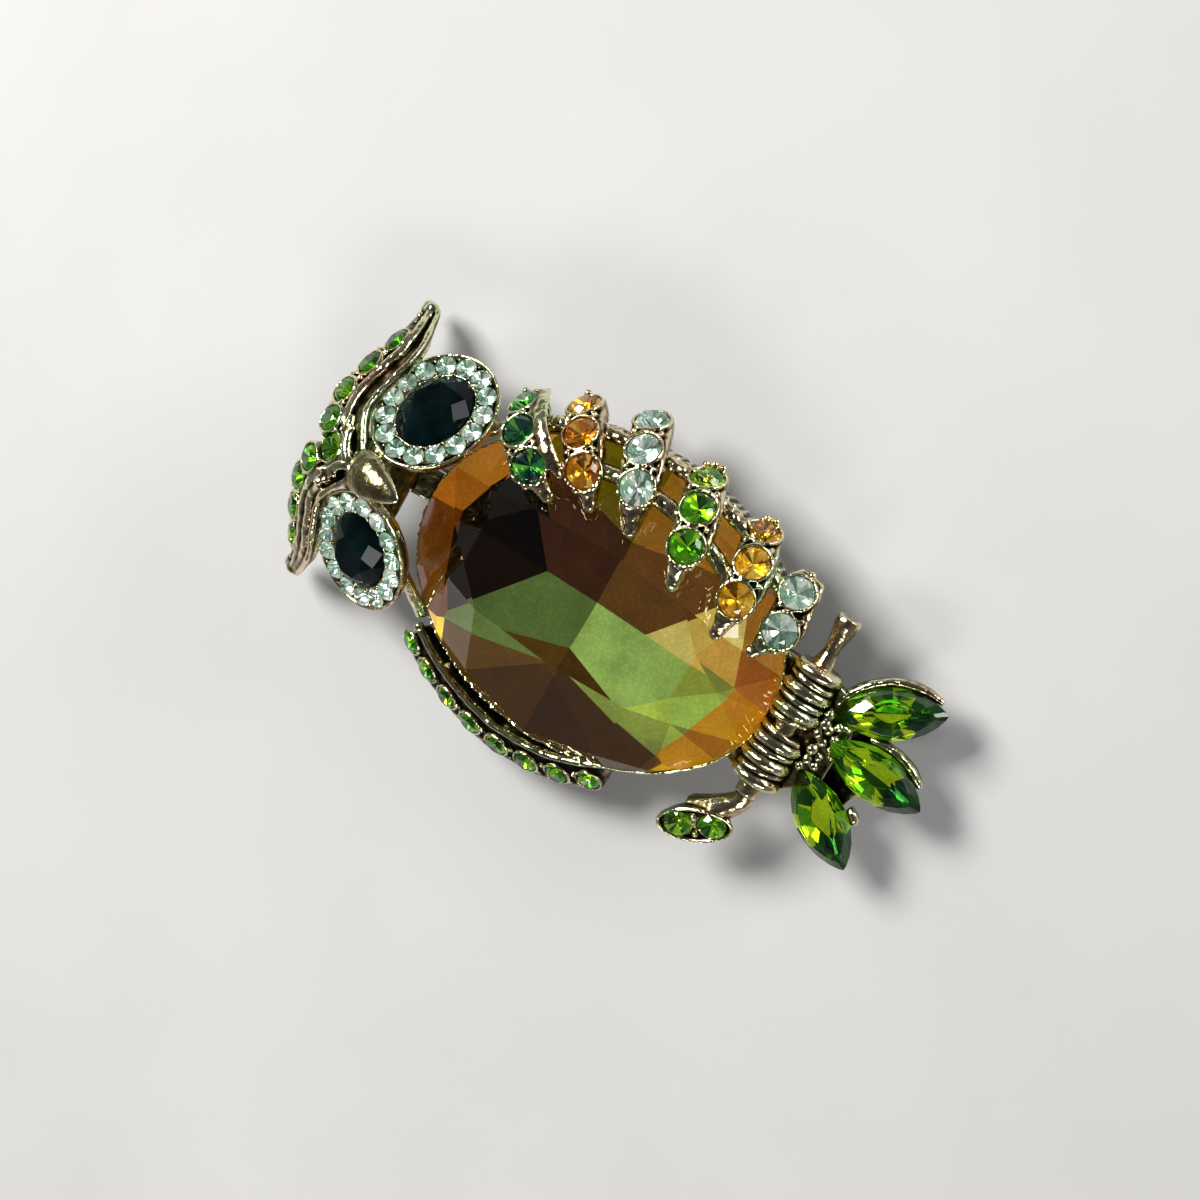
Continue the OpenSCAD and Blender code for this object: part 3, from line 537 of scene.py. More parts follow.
class Feather:
    """A metal strip with a row of stones; s runs along it in mm from its tip over the body stone."""

    def __init__(self, x, y, heading, count, lead, bow, end_beads):
        self.x, self.y, self.heading, self.count = x * HALF_W, y * HALF_L, heading, count
        self.lead, self.bow, self.end_beads = lead * WING_D, bow * WING_D, end_beads
        self.across = np.array([-sin(heading), cos(heading), 0])
        self.last = self.lead + (count - 1) * PITCH
        self.length = self.last + WING_D * 0.5 + 1.1

    def lean(self, s):
        return math.degrees(max(0, s - self.lead + 0.5) / BEND_R)

    def point(self, s):
        h, lean = self.heading, self.lean(s)
        r = min(s, self.lead - 0.5) + BEND_R * sin(lean)
        rise = 0.35 * min(1, s / self.lead)
        bow = self.bow * sin(180 * min(1, max(0, s) / self.last))
        return np.array([self.x + r * cos(h) - bow * sin(h), self.y + r * sin(h) + bow * cos(h),
                         crown_z(self.x, self.y) + 2 * GAP + TIP_T + rise - BEND_R * (1 - cos(lean))])

    def up(self, s):
        h, lean = self.heading, self.lean(s)
        return np.array([sin(lean) * cos(h), sin(lean) * sin(h), cos(lean)])

    def frame(self, s):
        return face_along(self.point(s), self.up(s), self.heading)

    def stone_frame(self, k):
        return self.frame(self.lead + k * PITCH)

    def seats(self):
        return [round_seat(self.stone_frame(k), WING_D, 0.03) for k in range(self.count)]

    def ring(self, s, edge):
        """Section at s: edge runs from top to underside, in shares of half the width and of the depth."""
        t = s / self.length
        at, up = self.point(s), self.up(s)
        w = FEATHER_HALF * along(FEATHER_WIDTHS, t)
        deep = lerp(TIP_T, FEATHER_DEPTH, min(1, t / 0.3))
        rows = edge + [(-x, z) for x, z in reversed(edge)]
        return np.array([at + self.across * w * x + up * deep * z for x, z in rows])


# tip's place as shares of half the body stone, heading, stones, lead of the first stone and sideways bow as
# shares of a stone, and places across of the beads at the far end
FEATHERS = [
    Feather(0.50, 0.38, 53.5, 3, 1.10, 0.22, (0.0,)),
    Feather(0.58, 0.19, 41.5, 3, 1.10, 0, (0.0,)),
    Feather(0.573, -0.04, 25, 3, 1.36, -0.1, ()),
    Feather(0.453, -0.35, 17, 3, 1.23, -0.21, (-0.85, 0.0, 0.85)),
    Feather(0.327, -0.64, 9.5, 3, 1.20, -0.26, (-0.45, 0.5)),
    Feather(0.323, -0.805, -7, 2, 1.07, -0.31, (0.0,))]


def add_flange(shape, feather):
    """Wide flange with drips on the first feather's side towards the middle."""
    across, lead = feather.across, feather.lead
    path = [feather.point(s) + across * -2.3 + feather.up(s) * 0.02
            for s in np.linspace(lead - 1.6, feather.last + 0.5, 16)]
    radii = taper(16, [0, 0.2, 0.8, 1], [0.5, 0.85, 0.9, 0.6])
    shape.tube(path, radii, n=12, flat=0.5, up=feather.up(feather.last))
    shape.tube([p + across * 0.65 - feather.up(4) * 0.35 for p in path[2:]], 0.62)
    for s, y in ((lead - 1.9, -2.1), (lead - 1.2, -2.9)):
        shape.ball(feather.point(s) + across * y, 0.42)


def make_feather(f):
    feather, shape, rings = FEATHERS[f], Shape(), []
    r, lead = WING_D / 2, feather.lead
    for s in feather.length * np.arange(61) / 60:
        # the top is higher at the tip than under the stones, and the flanks sway as if filed by hand
        top = lerp(0.10, -0.10, min(1, max(0, (s - lead + 2.3) / 0.6)))
        wave = 0.045 * math.sin(2 * math.pi * s / 0.85 + f) + 0.03 * math.sin(2 * math.pi * s / 1.9 + 2 * f)
        rings.append(feather.ring(s, [(0.80, top), (0.93, top - 0.05), (0.97, -0.3), (0.95 + wave, -0.55),
                                      (0.86 + wave, -0.8), (0.6, -1), (0.2, -1.04)]))
    shape.loft(rings)
    for k in range(feather.count):
        shape.bezel(feather.stone_frame(k), r + 0.15, r + 0.15, wire=0.19, steps=36, flat=1.5)
        if k < feather.count - 1:
            for y in (-1.38, 1.38):
                shape.ball((0, y, 0.1), 0.31, feather.frame(lead + k * PITCH + PITCH / 2), (1, 1, 0.9))
    for y in (-0.95, 0.95):  # claws on the first stone, then the drop-shaped tip
        shape.ball((-1.62, y, 0.15), 0.46, feather.frame(lead), (1.1, 0.9, 0.8))
    tip = [feather.point(s) + feather.up(s) * 0.02 for s in np.linspace(0.15, lead - 1.9, 6)]
    shape.tube(tip, [0.76, 0.70, 0.74, 0.84, 0.96, 1.04], n=12, flat=0.75, up=(0, 0, 1))
    shape.ball(feather.point(0.30), 0.66, scale=(1, 1, 0.85))
    for y in feather.end_beads:
        shape.ball((r + 0.42 - abs(y) * 0.28, y, 0.3), 0.42, feather.frame(feather.last))
    if f == 0:
        add_flange(shape, feather)
    cast(f"feather_{f + 1}_metal", shape, voxel=0.13, hammer=0.08, dent=0.7, seats=feather.seats(),
         dark=0.02)


WALL_FOOT_IN = 2.3  # how far the wing wall's foot stands in from its top


def make_wing():
    rings = []
    for i in range(151):
        bulge = 0.16 * math.sin(i * 2 * math.pi / 4.3) + 0.1 * noise.noise((i * 0.35, 0, 3.3))
        top, half = 2.1 + 0.12 * math.sin(i * 0.7), WALL_T / 2
        section = [(half + bulge, top), (WALL_T * 0.3 + bulge, -1.4), (half - WALL_FOOT_IN, REST_Z),
                   (-half - WALL_FOOT_IN, REST_Z), (-WALL_T * 0.7, -1.4), (-half, top)]
        rings.append(np.array([outline(lerp(-46, 45, i / 150), WING_SHARE, x, z) for x, z in section]))
    cast("wing_wall", Shape().loft(rings), voxel=0.2, hammer=0.12, dent=0.9, dark=0.12)
    rails = Shape().tube([outline(t, 0.85, 0, 3.4) for t in np.linspace(-49, 27, 80)], RAIL_D / 2, n=16)
    # upper rail between the feathers, its face roughly cast
    path = [outline(t, WING_SHARE, -0.1, 2.2) for t in np.linspace(-45, 44, 160)]
    uneven = [0.07 * math.sin(i * 1.3) + 0.08 * noise.noise((i * 0.4, 1.7, 0)) for i in range(160)]
    rails.tube(path, 0.72 + np.array(uneven), n=14)
    seats = [seat for feather in FEATHERS for seat in feather.seats()]
    cast("wing_rails", rails, voxel=0.14, hammer=0.07, dent=0.7, seats=seats, dark=0.04)


# ------------------------ metal: folded wing
SIDE_COUNT, SIDE_FROM, SIDE_TO = 8, 138, 206
SIDE_STONES_FROM, SIDE_STONES_TO = 141, 200.5
SIDE_LIP_Z, SIDE_OUT, SIDE_Z, SIDE_LEAN, SIDE_FOOT_IN = -0.5, 1.8, -1.75, 48, 1.4
SIDE_SHIFT = [(138, 0.4), (172, 0.5), (188, 0), (206, -1.2)]  # mm outward, by angle


def side_frame(i):
    t = lerp(SIDE_STONES_FROM, SIDE_STONES_TO, i / (SIDE_COUNT - 1))
    out = unit([cos(t) / HALF_W, sin(t) / HALF_L, 0])
    at = outline(t, WING_SHARE, SIDE_OUT + along(SIDE_SHIFT, t), SIDE_Z)
    return face_along(at, out * sin(SIDE_LEAN) + np.array([0, 0, cos(SIDE_LEAN)]))


def make_side():
    rings, steps, edge = [], 90, SIDE_OUT + 1.1
    section = [(-WALL_T * 0.35, SIDE_LIP_Z - 0.2), (-WALL_T * 0.45, -3.4), (-SIDE_FOOT_IN - WALL_T, REST_Z),
               (-SIDE_FOOT_IN, REST_Z), (SIDE_OUT, SIDE_Z - 2.2), (edge, SIDE_Z - 1.2),
               (edge - 0.25, SIDE_Z - 0.75), (WALL_T * 0.3, SIDE_LIP_Z - 0.25)]
    for i in range(steps + 1):
        t = lerp(SIDE_FROM, SIDE_TO, i / steps)
        end = min(1, 0.35 + min(i, steps - i) / 5)  # the shelf narrows at both ends
        rings.append(np.array([outline(t, WING_SHARE, x * (end if x > 0 else 1) + along(SIDE_SHIFT, t), z)
                               for x, z in section]))
    shape = Shape().loft(rings)
    lip = [outline(t, WING_SHARE, along(SIDE_SHIFT, t) + 0.02, SIDE_LIP_Z - 0.12)
           for t in np.linspace(SIDE_FROM, SIDE_TO, steps)]
    shape.tube(lip, 0.3)
    shape.ball(lip[0] + np.array([0.1, 0, -0.1]), 0.55)
    for i in range(SIDE_COUNT):
        shape.bezel(side_frame(i), SIDE_D / 2 + 0.2, SIDE_D / 2 + 0.2, wire=0.14, steps=30, flat=1.5)
        if i:
            for x in (-0.75, 0.75):
                shape.ball((x, 0, 0.16), 0.24, (side_frame(i - 1) + side_frame(i)) / 2)
    seats = [round_seat(side_frame(i), SIDE_D, 0.12) for i in range(SIDE_COUNT)]
    cast("side_wing_metal", shape, voxel=0.15, hammer=0.06, dent=0.8, seats=seats, dark=0.15)


# ------------------------ metal: eyes
EYE_SIDE, EYE_Y, EYE_Z, EYE_LEAN, EYE_AZ, EYE_TURN, PLATE_T = 8.1, HALF_L + 3.05, 2.7, 31.0, 18, -8, 1.7
HALO_OUT = EYE_W / 2 + HALO_D / 2 + 0.16
HALO_OUT_L = EYE_L / 2 + HALO_D / 2 + 0.16
HALO_COUNT = int(2 * math.pi * math.sqrt((HALO_OUT_L ** 2 + HALO_OUT ** 2) / 2) / (HALO_D + 0.12))
EYE_SEAT_DEPTH = 1.2


def eye_frame(s):
    m = moved((s * EYE_SIDE, EYE_Y, EYE_Z))
    if s < 0:
        m = m @ np.diag([-1.0, 1, 1, 1])
    return m @ turned("Y", EYE_LEAN) @ turned("Z", EYE_TURN) @ turned("X", -EYE_LEAN * sin(EYE_AZ))


def stone_in_eye(s):
    return eye_frame(s) @ moved((0, 0, 0.1))


def halo_at(i):
    """Place of a small stone round the eye, at even steps along the oval."""
    t = 360 * (i + 0.5) / HALO_COUNT
    t += (HALO_OUT_L - HALO_OUT) / (HALO_OUT_L + HALO_OUT) * 90 / math.pi * sin(2 * t)
    return np.array([HALO_OUT_L * cos(t), HALO_OUT * sin(t), 0.12])


def halo_frames(s):
    return [eye_frame(s) @ moved(halo_at(i)) for i in range(HALO_COUNT)]


def eye_seats(s):
    return ([round_seat(m, HALO_D, 0.01) for m in halo_frames(s)]
            + [(stone_in_eye(s), EYE_L / 2 + 0.01, EYE_W / 2 + 0.01, EYE_SEAT_DEPTH)])


def make_eye(s, side):
    m = eye_frame(s)
    rim_l, rim_w = HALO_OUT_L + HALO_D / 2 + BEZEL + GAP, HALO_OUT + HALO_D / 2 + BEZEL + GAP
    # from the back's middle round the rim to the floor under the stones: shares of the rim, and height
    rows = [(0.5, 0.5, -PLATE_T), (0.8, 0.78, -PLATE_T), (0.93, 0.92, -PLATE_T * 0.8),
            (0.975, 0.97, -PLATE_T * 0.5), (0.99, 0.99, -0.2), (0.985, 0.985, 0.12), (0.96, 0.95, 0.16),
            (0.93, 0.92, -0.1), (0.9, 0.88, -0.45), (0.5, 0.5, -0.45)]
    shape = Shape().loft([oval(72, rim_l * a, rim_w * b, z) for a, b, z in rows], m)
    shape.bezel(m, EYE_L / 2 + 0.08, EYE_W / 2 + 0.08, wire=0.13, steps=72, z=-0.1)
    for i in range(HALO_COUNT):
        between = (halo_at(i) + halo_at((i + 1) % HALO_COUNT)) / 2
        for k in (0.86, 1.15):  # claws inside and outside the ring of stones
            shape.ball(between * (k, k, 0) + (0, 0, 0.16), 0.17, m)
    cast(f"eye_{side}_metal", shape, voxel=0.12, hammer=0.03, dent=0.8, seats=eye_seats(s), dark=-0.05)


# ------------------------ metal: brow, beak and mask
BROW_HALF, BROW_Y = 11.3, HALF_L + 12.3
# stones from the middle to one side, then the tip, as shares of BROW_HALF
BROW = [(0, -0.23, 0.5), (0.2, -0.075, 0.42), (0.44, 0, 0.25), (0.73, -0.035, 0.1), (1, -0.1, -0.05)]
BROW_TIP = (1.33, -0.09, -0.34)
BROW_SIZES = [0.45, 0.9, 1, 1, 1, 1.05, 1, 1, 1, 0.9, 0.45]
BROW_SECTION = [(1.0, -0.12), (0.9, -0.9), (0.6, -1.4), (-0.3, -1.62), (-0.9, -1.7), (-1.9, -1.25),
                (-2.1, -0.7), (-1.80, -0.72), (-1.40, -0.62), (-0.8, -0.15)]
BROW_RIDGES = [(-1.06, -0.24, 0.46), (-2.08, -0.66, 0.30)]  # across, up, radius
BROW_SHEET = (-1.52, -0.50)  # of the left brow, which fills the hollow between its ridges
BEAK_AT, BEAK_L = np.array([0, HALF_L + 5.1, 6.6]), 6.6


def brow_place(x, y, z):
    return np.array([x * BROW_HALF, BROW_Y + y * BROW_HALF, z * BROW_HALF])


def brow_at(i):
    x, y, z = BROW[abs(i - 4)]
    return brow_place(x if i > 4 else -x, y, z)


def brow_up(i):
    x = (i - 4) / 4
    return unit([0.42 * x, 0.52 + 0.25 * abs(x), 0.78 - 0.2 * abs(x)])


BROW_PATH = [brow_place(-BROW_TIP[0], *BROW_TIP[1:]), *[brow_at(i) for i in range(9)], brow_place(*BROW_TIP)]


def brow_ring(j, section):
    """Points of a section at the path's point j: across and up, as shares of the brow's half width."""
    up = brow_up(min(8, max(0, j - 1)))
    side = unit(np.cross(up, unit(BROW_PATH[min(10, j + 1)] - BROW_PATH[max(0, j - 1)])))
    k = BROW_SIZES[j] * (BROW_D / 2 + BEZEL)
    return np.array([BROW_PATH[j] + side * k * x + up * k * z for x, z in section])


def brow_line(across, up, count=11):
    return smooth_path([brow_ring(j, [(across, up)])[0] for j in range(count)], 8)


def brow_frame(i):
    return face_along(brow_at(i), brow_up(i))


def jitter(*ranges):
    return np.array([random.uniform(*r) for r in ranges])


def make_brow():
    shape = Shape().loft(list(smooth_path([brow_ring(j, BROW_SECTION) for j in range(11)], 7)))
    for i in range(9):
        shape.bezel(brow_frame(i), BROW_D / 2 + 0.16, BROW_D / 2 + 0.16, wire=0.2, steps=32, flat=1.3)
        if i:  # a bead on each side between two stones
            up = unit(brow_up(i) + brow_up(i - 1))
            side = unit(np.cross(up, unit(brow_at(i) - brow_at(i - 1))))
            for k in (0.85, -0.95):
                shape.ball((brow_at(i) + brow_at(i - 1)) / 2 + side * k + up * 0.22, 0.3)
    for across, up, thick in BROW_RIDGES:
        ridge = brow_line(across, up)
        wave = [1.04 + 0.16 * noise.noise((k * 0.17, across, 2.0)) for k in range(len(ridge))]
        size = taper(len(ridge), [0, 0.06, 0.25, 0.5, 0.75, 0.94, 1], [0.85, 1.0, 1, 1.1, 1, 1.0, 0.85])
        shape.tube(ridge, thick * size * wave, n=16, flat=0.85, up=(0, 0, 1))
    sheet = brow_line(*BROW_SHEET, count=5)
    shape.tube(sheet, np.linspace(0.5, 0.62, len(sheet)), n=14, flat=0.75, up=(0, 0, 1))
    for j in (0, 10):  # blunt hammered tufts
        shape.ball(brow_ring(j, [(-0.9, -0.35)])[0], 0.85, scale=(1, 1, 0.8))
        shape.ball(BROW_PATH[j] + np.array([0, 0, -0.75]), 0.86, scale=(1, 1, 1.2))
        inward = (BROW_PATH[5] - BROW_PATH[j]) / np.linalg.norm(BROW_PATH[5] - BROW_PATH[j])
        for _ in range(9):
            at = BROW_PATH[j] + inward * random.uniform(0, 3.2)
            shape.ball(at + jitter((-0.6, 0.6), (-0.9, 0.1), (-0.35, 0.2)), random.uniform(0.3, 0.46))
    seats = [round_seat(brow_frame(i), BROW_D, 0.02) for i in range(9)]
    cast("brow_metal", shape, voxel=0.14, hammer=0.09, dent=1.2, seats=seats, dark=-0.10)


def make_beak():
    # share of the length, share of the half width, and heights of the back and the underside in mm
    rows = [(-0.1, 0.35, 0.2, -0.8), (0.05, 0.85, 0.75, -1.3), (0.3, 1, 1.1, -1.3), (0.6, 0.72, 1, -0.9),
            (0.85, 0.34, 0.6, -0.45), (1, 0.06, 0.1, -0.1)]
    half_w, root, droop = 2.3, 1.4, 2.5
    rings = []
    for share, wide, high, low in smooth_path(rows, 6):
        ring = [(half_w * max(0.05, wide) ** 0.8 * cos(t), root - BEAK_L * share,
                 droop * share + ((1.5 - 0.5 * share) * high if sin(t) > 0 else -low) * sin(t))
                for t in np.arange(28) * 360 / 28]
        rings.append(BEAK_AT + np.array(ring))
    cast("beak_metal", Shape().loft(rings), voxel=0.1, hammer=0.05, dent=1.3, smooth=2, dark=0.02)


def make_mask():
    """What joins the eyes, brow, beak and cup behind them, and the Y above the beak."""
    behind_eyes = [apply(eye_frame(s), cyl_points(2.6, 0.9, (-1, 1.6, -PLATE_T - 0.6))) for s in (-1, 1)]
    shape = Shape().hull(*behind_eyes, cyl_points(1.6, 1.8, brow_at(4) + (0, -2.6, -3.6)),
                         cyl_points(1.7, 2.2, BEAK_AT + (0, 0.6, -3)))
    for s in (-1, 1):
        shape.hull(box_points((1.6, 1.4, 1), brow_at(4 + 3 * s) + (0, -1.6, -2.8)),
                   apply(eye_frame(s), box_points((5, 2, 0.8), (0, 1.5, -PLATE_T - 0.4))))
    shape.hull(box_points((3.4, 2.4, 1.3), (0.8, HALF_L - 0.6, -STONE_BACK * 0.62)),
               box_points((3.4, 2.2, 1.6), (0.8, EYE_Y + 1.4, -0.3)))
    shape.hull(box_points((3, 2, 1.4), (0.6, EYE_Y + 1.6, -0.3)), cyl_points(1.5, 1, BEAK_AT + (0, 0.6, -3)))
    for s, post_z, reach in ((-1, -1.6, 0.2), (1, 0.6, 1.6)):  # posts from the cup's rim to the eyes
        a = np.array([s * HALF_W * 0.74, HALF_L * 0.77, post_z])
        b = apply(eye_frame(s), (reach, -HALO_OUT, -PLATE_T * 0.7))
        shape.tube([a, lerp(a, b, 0.5), b], [0.8, 0.65, 0.8])
    top = BEAK_AT + np.array([0, 0.9, 0.5])
    for s in (-1, 1):
        path = smooth_path([top, top + (s * 0.7, 1.6, 0.1), brow_ring(5 + s, [(-1.6, -0.15)])[0]], 6)
        shape.tube(path, np.linspace(0.62, 0.44, len(path)), flat=0.6, up=(0, 0, 1))
        for _ in range(10):
            at = path[random.randrange(len(path))]
            shape.ball(at + jitter(*[(-0.7, 0.7)] * 3) * (1, 1, 0.4), random.uniform(0.26, 0.42))
    seats = eye_seats(-1) + eye_seats(1)
    cast("mask_metal", shape, voxel=0.16, hammer=0.06, dent=1.0, smooth=2, seats=seats, dark=0.1)


# ------------------------ metal: perch, toes, cup and tail
PERCH_Y, PERCH_Z, PERCH_END = -HALF_L - 2.3, 0.1, 12.4
HORN_FRAME = moved((-HALF_W + 1.6, PERCH_Y + 2.8, -0.6)) @ turned("Z", 28) @ turned("Y", -28)
HORN_A, HORN_B = 2.15, 4.0  # half width and half length of the cup at the perch's end
TOES = [-0.46, -0.30, -0.13, 0.16, 0.34, 0.51]  # places of the thick toe wires, as shares of PERCH_END
TOE_W, TOE_H = 2.65, 2.25  # half width and half height of a toe's loop
# tails: x and y from the perch, heading, and the stretch of the edge that carries a bead of metal
TAIL = [(-3.1, -3.0, -126, 0.52, 0.68), (0.9, -4.3, -97, 0.3, 0.9), (3.6, -3.2, -60, 0, 0.97)]
TAIL_Z, TAIL_SEAT_T, TAIL_DROOP = -1.1, 1.9, 6
# balls of metal where the tails meet: x, y from the perch, height and radius
TAIL_BALLS = [
    (-0.5, -3.2, -0.35, 0.675), (0.3, -4.9, -0.6, 0.567), (1.4, -4.6, -0.55, 0.6075),
    (2.3, -3.1, -0.3, 0.675), (1.2, -3.0, -0.3, 0.675), (-1.9, -4.2, -0.6, 0.54), (3.0, -5.2, -0.8, 0.54),
    (-1.6, -3.3, -0.5, 0.6075), (-0.9, -4.1, -0.7, 0.54), (1.9, -3.6, -0.45, 0.675), (2.6, -4.4, -0.7, 0.567),
    (0.6, -3.7, -0.5, 0.567), (-2.6, -2.9, -0.5, 0.54), (3.2, -3.0, -0.4, 0.6075), (-0.2, -5.2, -0.9, 0.513)]


def perch_point(x, y=0.0, z=0.0):
    return np.array([x, PERCH_Y + y, PERCH_Z + z])


def cup_stone_frame(i):
    return HORN_FRAME @ moved((0, (i - 0.5) * (CUP_D + 2 * GAP + 0.25), 0.15))


def tail_frame(i):
    x, y, heading = TAIL[i][:3]
    return moved((x, PERCH_Y + y, TAIL_Z)) @ turned("Z", heading) @ turned("Y", TAIL_DROOP)


def make_perch():
    start, stub = -PERCH_END * 0.62, PERCH_END * 0.56
    shape = Shape().tube([perch_point(x) for x in np.linspace(start, stub, 20)], PERCH_D / 2, n=20)
    xs = np.linspace(stub, PERCH_END, 14)  # plain end with a neck
    neck = np.interp(xs, [stub, stub + 1.6, stub + 2.6, PERCH_END - 0.5, PERCH_END],
                     [0.5, 0.33, 0.36, 0.56, 0.5])
    shape.tube([perch_point(x) for x in xs], PERCH_D * neck, n=24)
    stem = smooth_path([perch_point(start + 1.2), perch_point(start - 1.2, 0.2, -0.3),
                        apply(HORN_FRAME, (0.4, 0.2, -1.5))], 8)  # curved stem to the cup
    shape.tube(stem, taper(len(stem), [0, 0.5, 0.8, 1], [1.05, 1.1, 1.45, 1.9]), n=16)
    a, b = HORN_A, HORN_B
    rows = [(a * 0.5, b * 0.45, -2), (a * 0.72, b * 0.68, -1.6), (a * 0.86, b * 0.84, -1),
            (a * 0.97, b * 0.97, -0.2), (a, b, 0.15), (a - 0.16, b - 0.16, 0.36), (a - 0.38, b - 0.38, 0.3),
            (a - 0.5, b - 0.5, -0.1), (a * 0.3, b * 0.5, -0.1)]
    shape.loft([oval(56, *row) for row in rows], HORN_FRAME)
    for x in (-1.05, 1.05):
        shape.ball((x, 0, 0.2), 0.36, HORN_FRAME)
    seats = [round_seat(cup_stone_frame(i), CUP_D, 0.02) for i in (0, 1)]
    cast("perch_metal", shape, voxel=0.12, hammer=0.03, dent=1.1, smooth=2, seats=seats, dark=-0.05)


def make_toes():
    shape = Shape()
    # thick wires, thin ones between them, and one thin wire on each side of the gap in the middle
    wires = [(t * PERCH_END, 1.5, 1.0, 0.0) for t in TOES]
    wires += [((TOES[a] + TOES[a + 1]) / 2 * PERCH_END, 0.75, 0.92, 0.05 * (a - 2)) for a in (0, 1, 3, 4)]
    wires += [((TOES[2] + 0.075) * PERCH_END, 0.8, 0.86, 0.1),
              ((TOES[3] - 0.075) * PERCH_END, 0.8, 0.84, -0.1)]
    for at, thick, size, slant in wires:
        rings = []
        for x in np.linspace(-0.5, 0.5, 15):
            g = size * (1 - 0.34 * thick / 1.9 * (1 - math.sqrt(max(0, 1 - (2 * x) ** 2))) * 1.6)
            y, z = oval(32, TOE_W * g, TOE_H * g).T[:2]
            rings.append(np.stack([thick * x + slant * y, y, z], 1) + perch_point(at))
        shape.loft(rings)
    shape.hull(box_points((12, 2, 1.6), (0, -HALF_L + 1.4, -STONE_BACK * 0.6)),
               box_points((13, 3, 1.6), perch_point(0, 0, -1)),
               box_points((8.4, 2, 1), (0.4, PERCH_Y - 4.4, TAIL_Z - 1.7)))
    cast("toe_metal", shape, voxel=0.125, hammer=0.05, dent=0.9, dark=0.03, sharp=1.4)


NAVETTE_POWER = 1.6  # above 1 the ends of a navette stone's outline are pointed


def navette_edge(l, w, n):
    a = np.radians(np.linspace(0, 180, n + 1))
    return l / 2 * (1 - np.cos(a)), w / 2 * np.abs(np.sin(a)) ** NAVETTE_POWER


def navette_ring(z, k=1.0, n=24):
    """A tail stone's outline at a height, scaled by k about its middle."""
    x, y = navette_edge(TAIL_L, TAIL_W, n)
    x = TAIL_L / 2 + (x - TAIL_L / 2) * k
    return np.concatenate([np.stack([x, y * k, np.full(n + 1, z)], 1),
                           np.stack([x[1:-1], -y[1:-1] * k, np.full(n - 1, z)], 1)[::-1]])


def make_tail():
    shape = Shape()
    edge_out = 0.35
    for i in range(3):
        m = tail_frame(i)
        shape.loft([navette_ring(-TAIL_SEAT_T, 0.7), navette_ring(-1.0, 0.85), navette_ring(-0.3, 0.96)], m)
        x, y = navette_edge(TAIL_L + 2 * edge_out, TAIL_W + 2 * edge_out, 40)
        share = (x - edge_out) / TAIL_L
        keep = (share >= TAIL[i][3] - 0.05) & (share <= TAIL[i][4])
        path = np.stack([x[keep] - edge_out, y[keep] + 0.08, np.full(keep.sum(), -0.55)], 1)
        shape.tube(path, taper(len(path), [0, 0.2, 0.8, 1], [0.3, 0.5, 0.5, 0.3]), m, flat=1.6, up=(0, 0, 1))
    for i in (0, 1):
        shape.hull(*[apply(tail_frame(k), box_points((3.4, 2, 0.7), (TAIL_L * 0.36, 0, -0.2 - TAIL_SEAT_T)))
                     for k in (i, i + 1)])
    for x, y, z, r in TAIL_BALLS:
        shape.ball((x, PERCH_Y + y, z), r)
    obj = cast("tail_metal", shape, voxel=0.14, hammer=0.07, dent=0.9, dark=0.14)
    v = read(obj.data.vertices, "co", 3) / MM + MIDDLE
    for i in range(3):  # room for the three stones
        m = tail_frame(i)
        p = apply(np.linalg.inv(m), v)
        x = np.clip(p[:, 0] / TAIL_L, 0, 1)
        half = TAIL_W / 2 * np.abs(np.sqrt(1 - (1 - 2 * x) ** 2)) ** NAVETTE_POWER + 0.02
        rho = np.abs(p[:, 1]) / half
        inside = (p[:, 0] > 0) & (p[:, 0] < TAIL_L) & (rho < 1) & (p[:, 2] > -TAIL_BACK) & (p[:, 2] < 1.5)
        floor = -TAIL_BACK * np.sqrt(np.maximum(0, 1 - rho ** 2)) - SEAT_CLEAR
        low = inside & (p[:, 2] > floor)
        p[low, 2] = floor[low]
        v[low] = apply(m, p[low])
    set_points(obj.data, to_row(v))


def make_pin():
    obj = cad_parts["pin_back"]
    for slot in obj.material_slots:
        slot.material = PIN_METAL
    if not obj.material_slots:
        obj.data.materials.append(PIN_METAL)


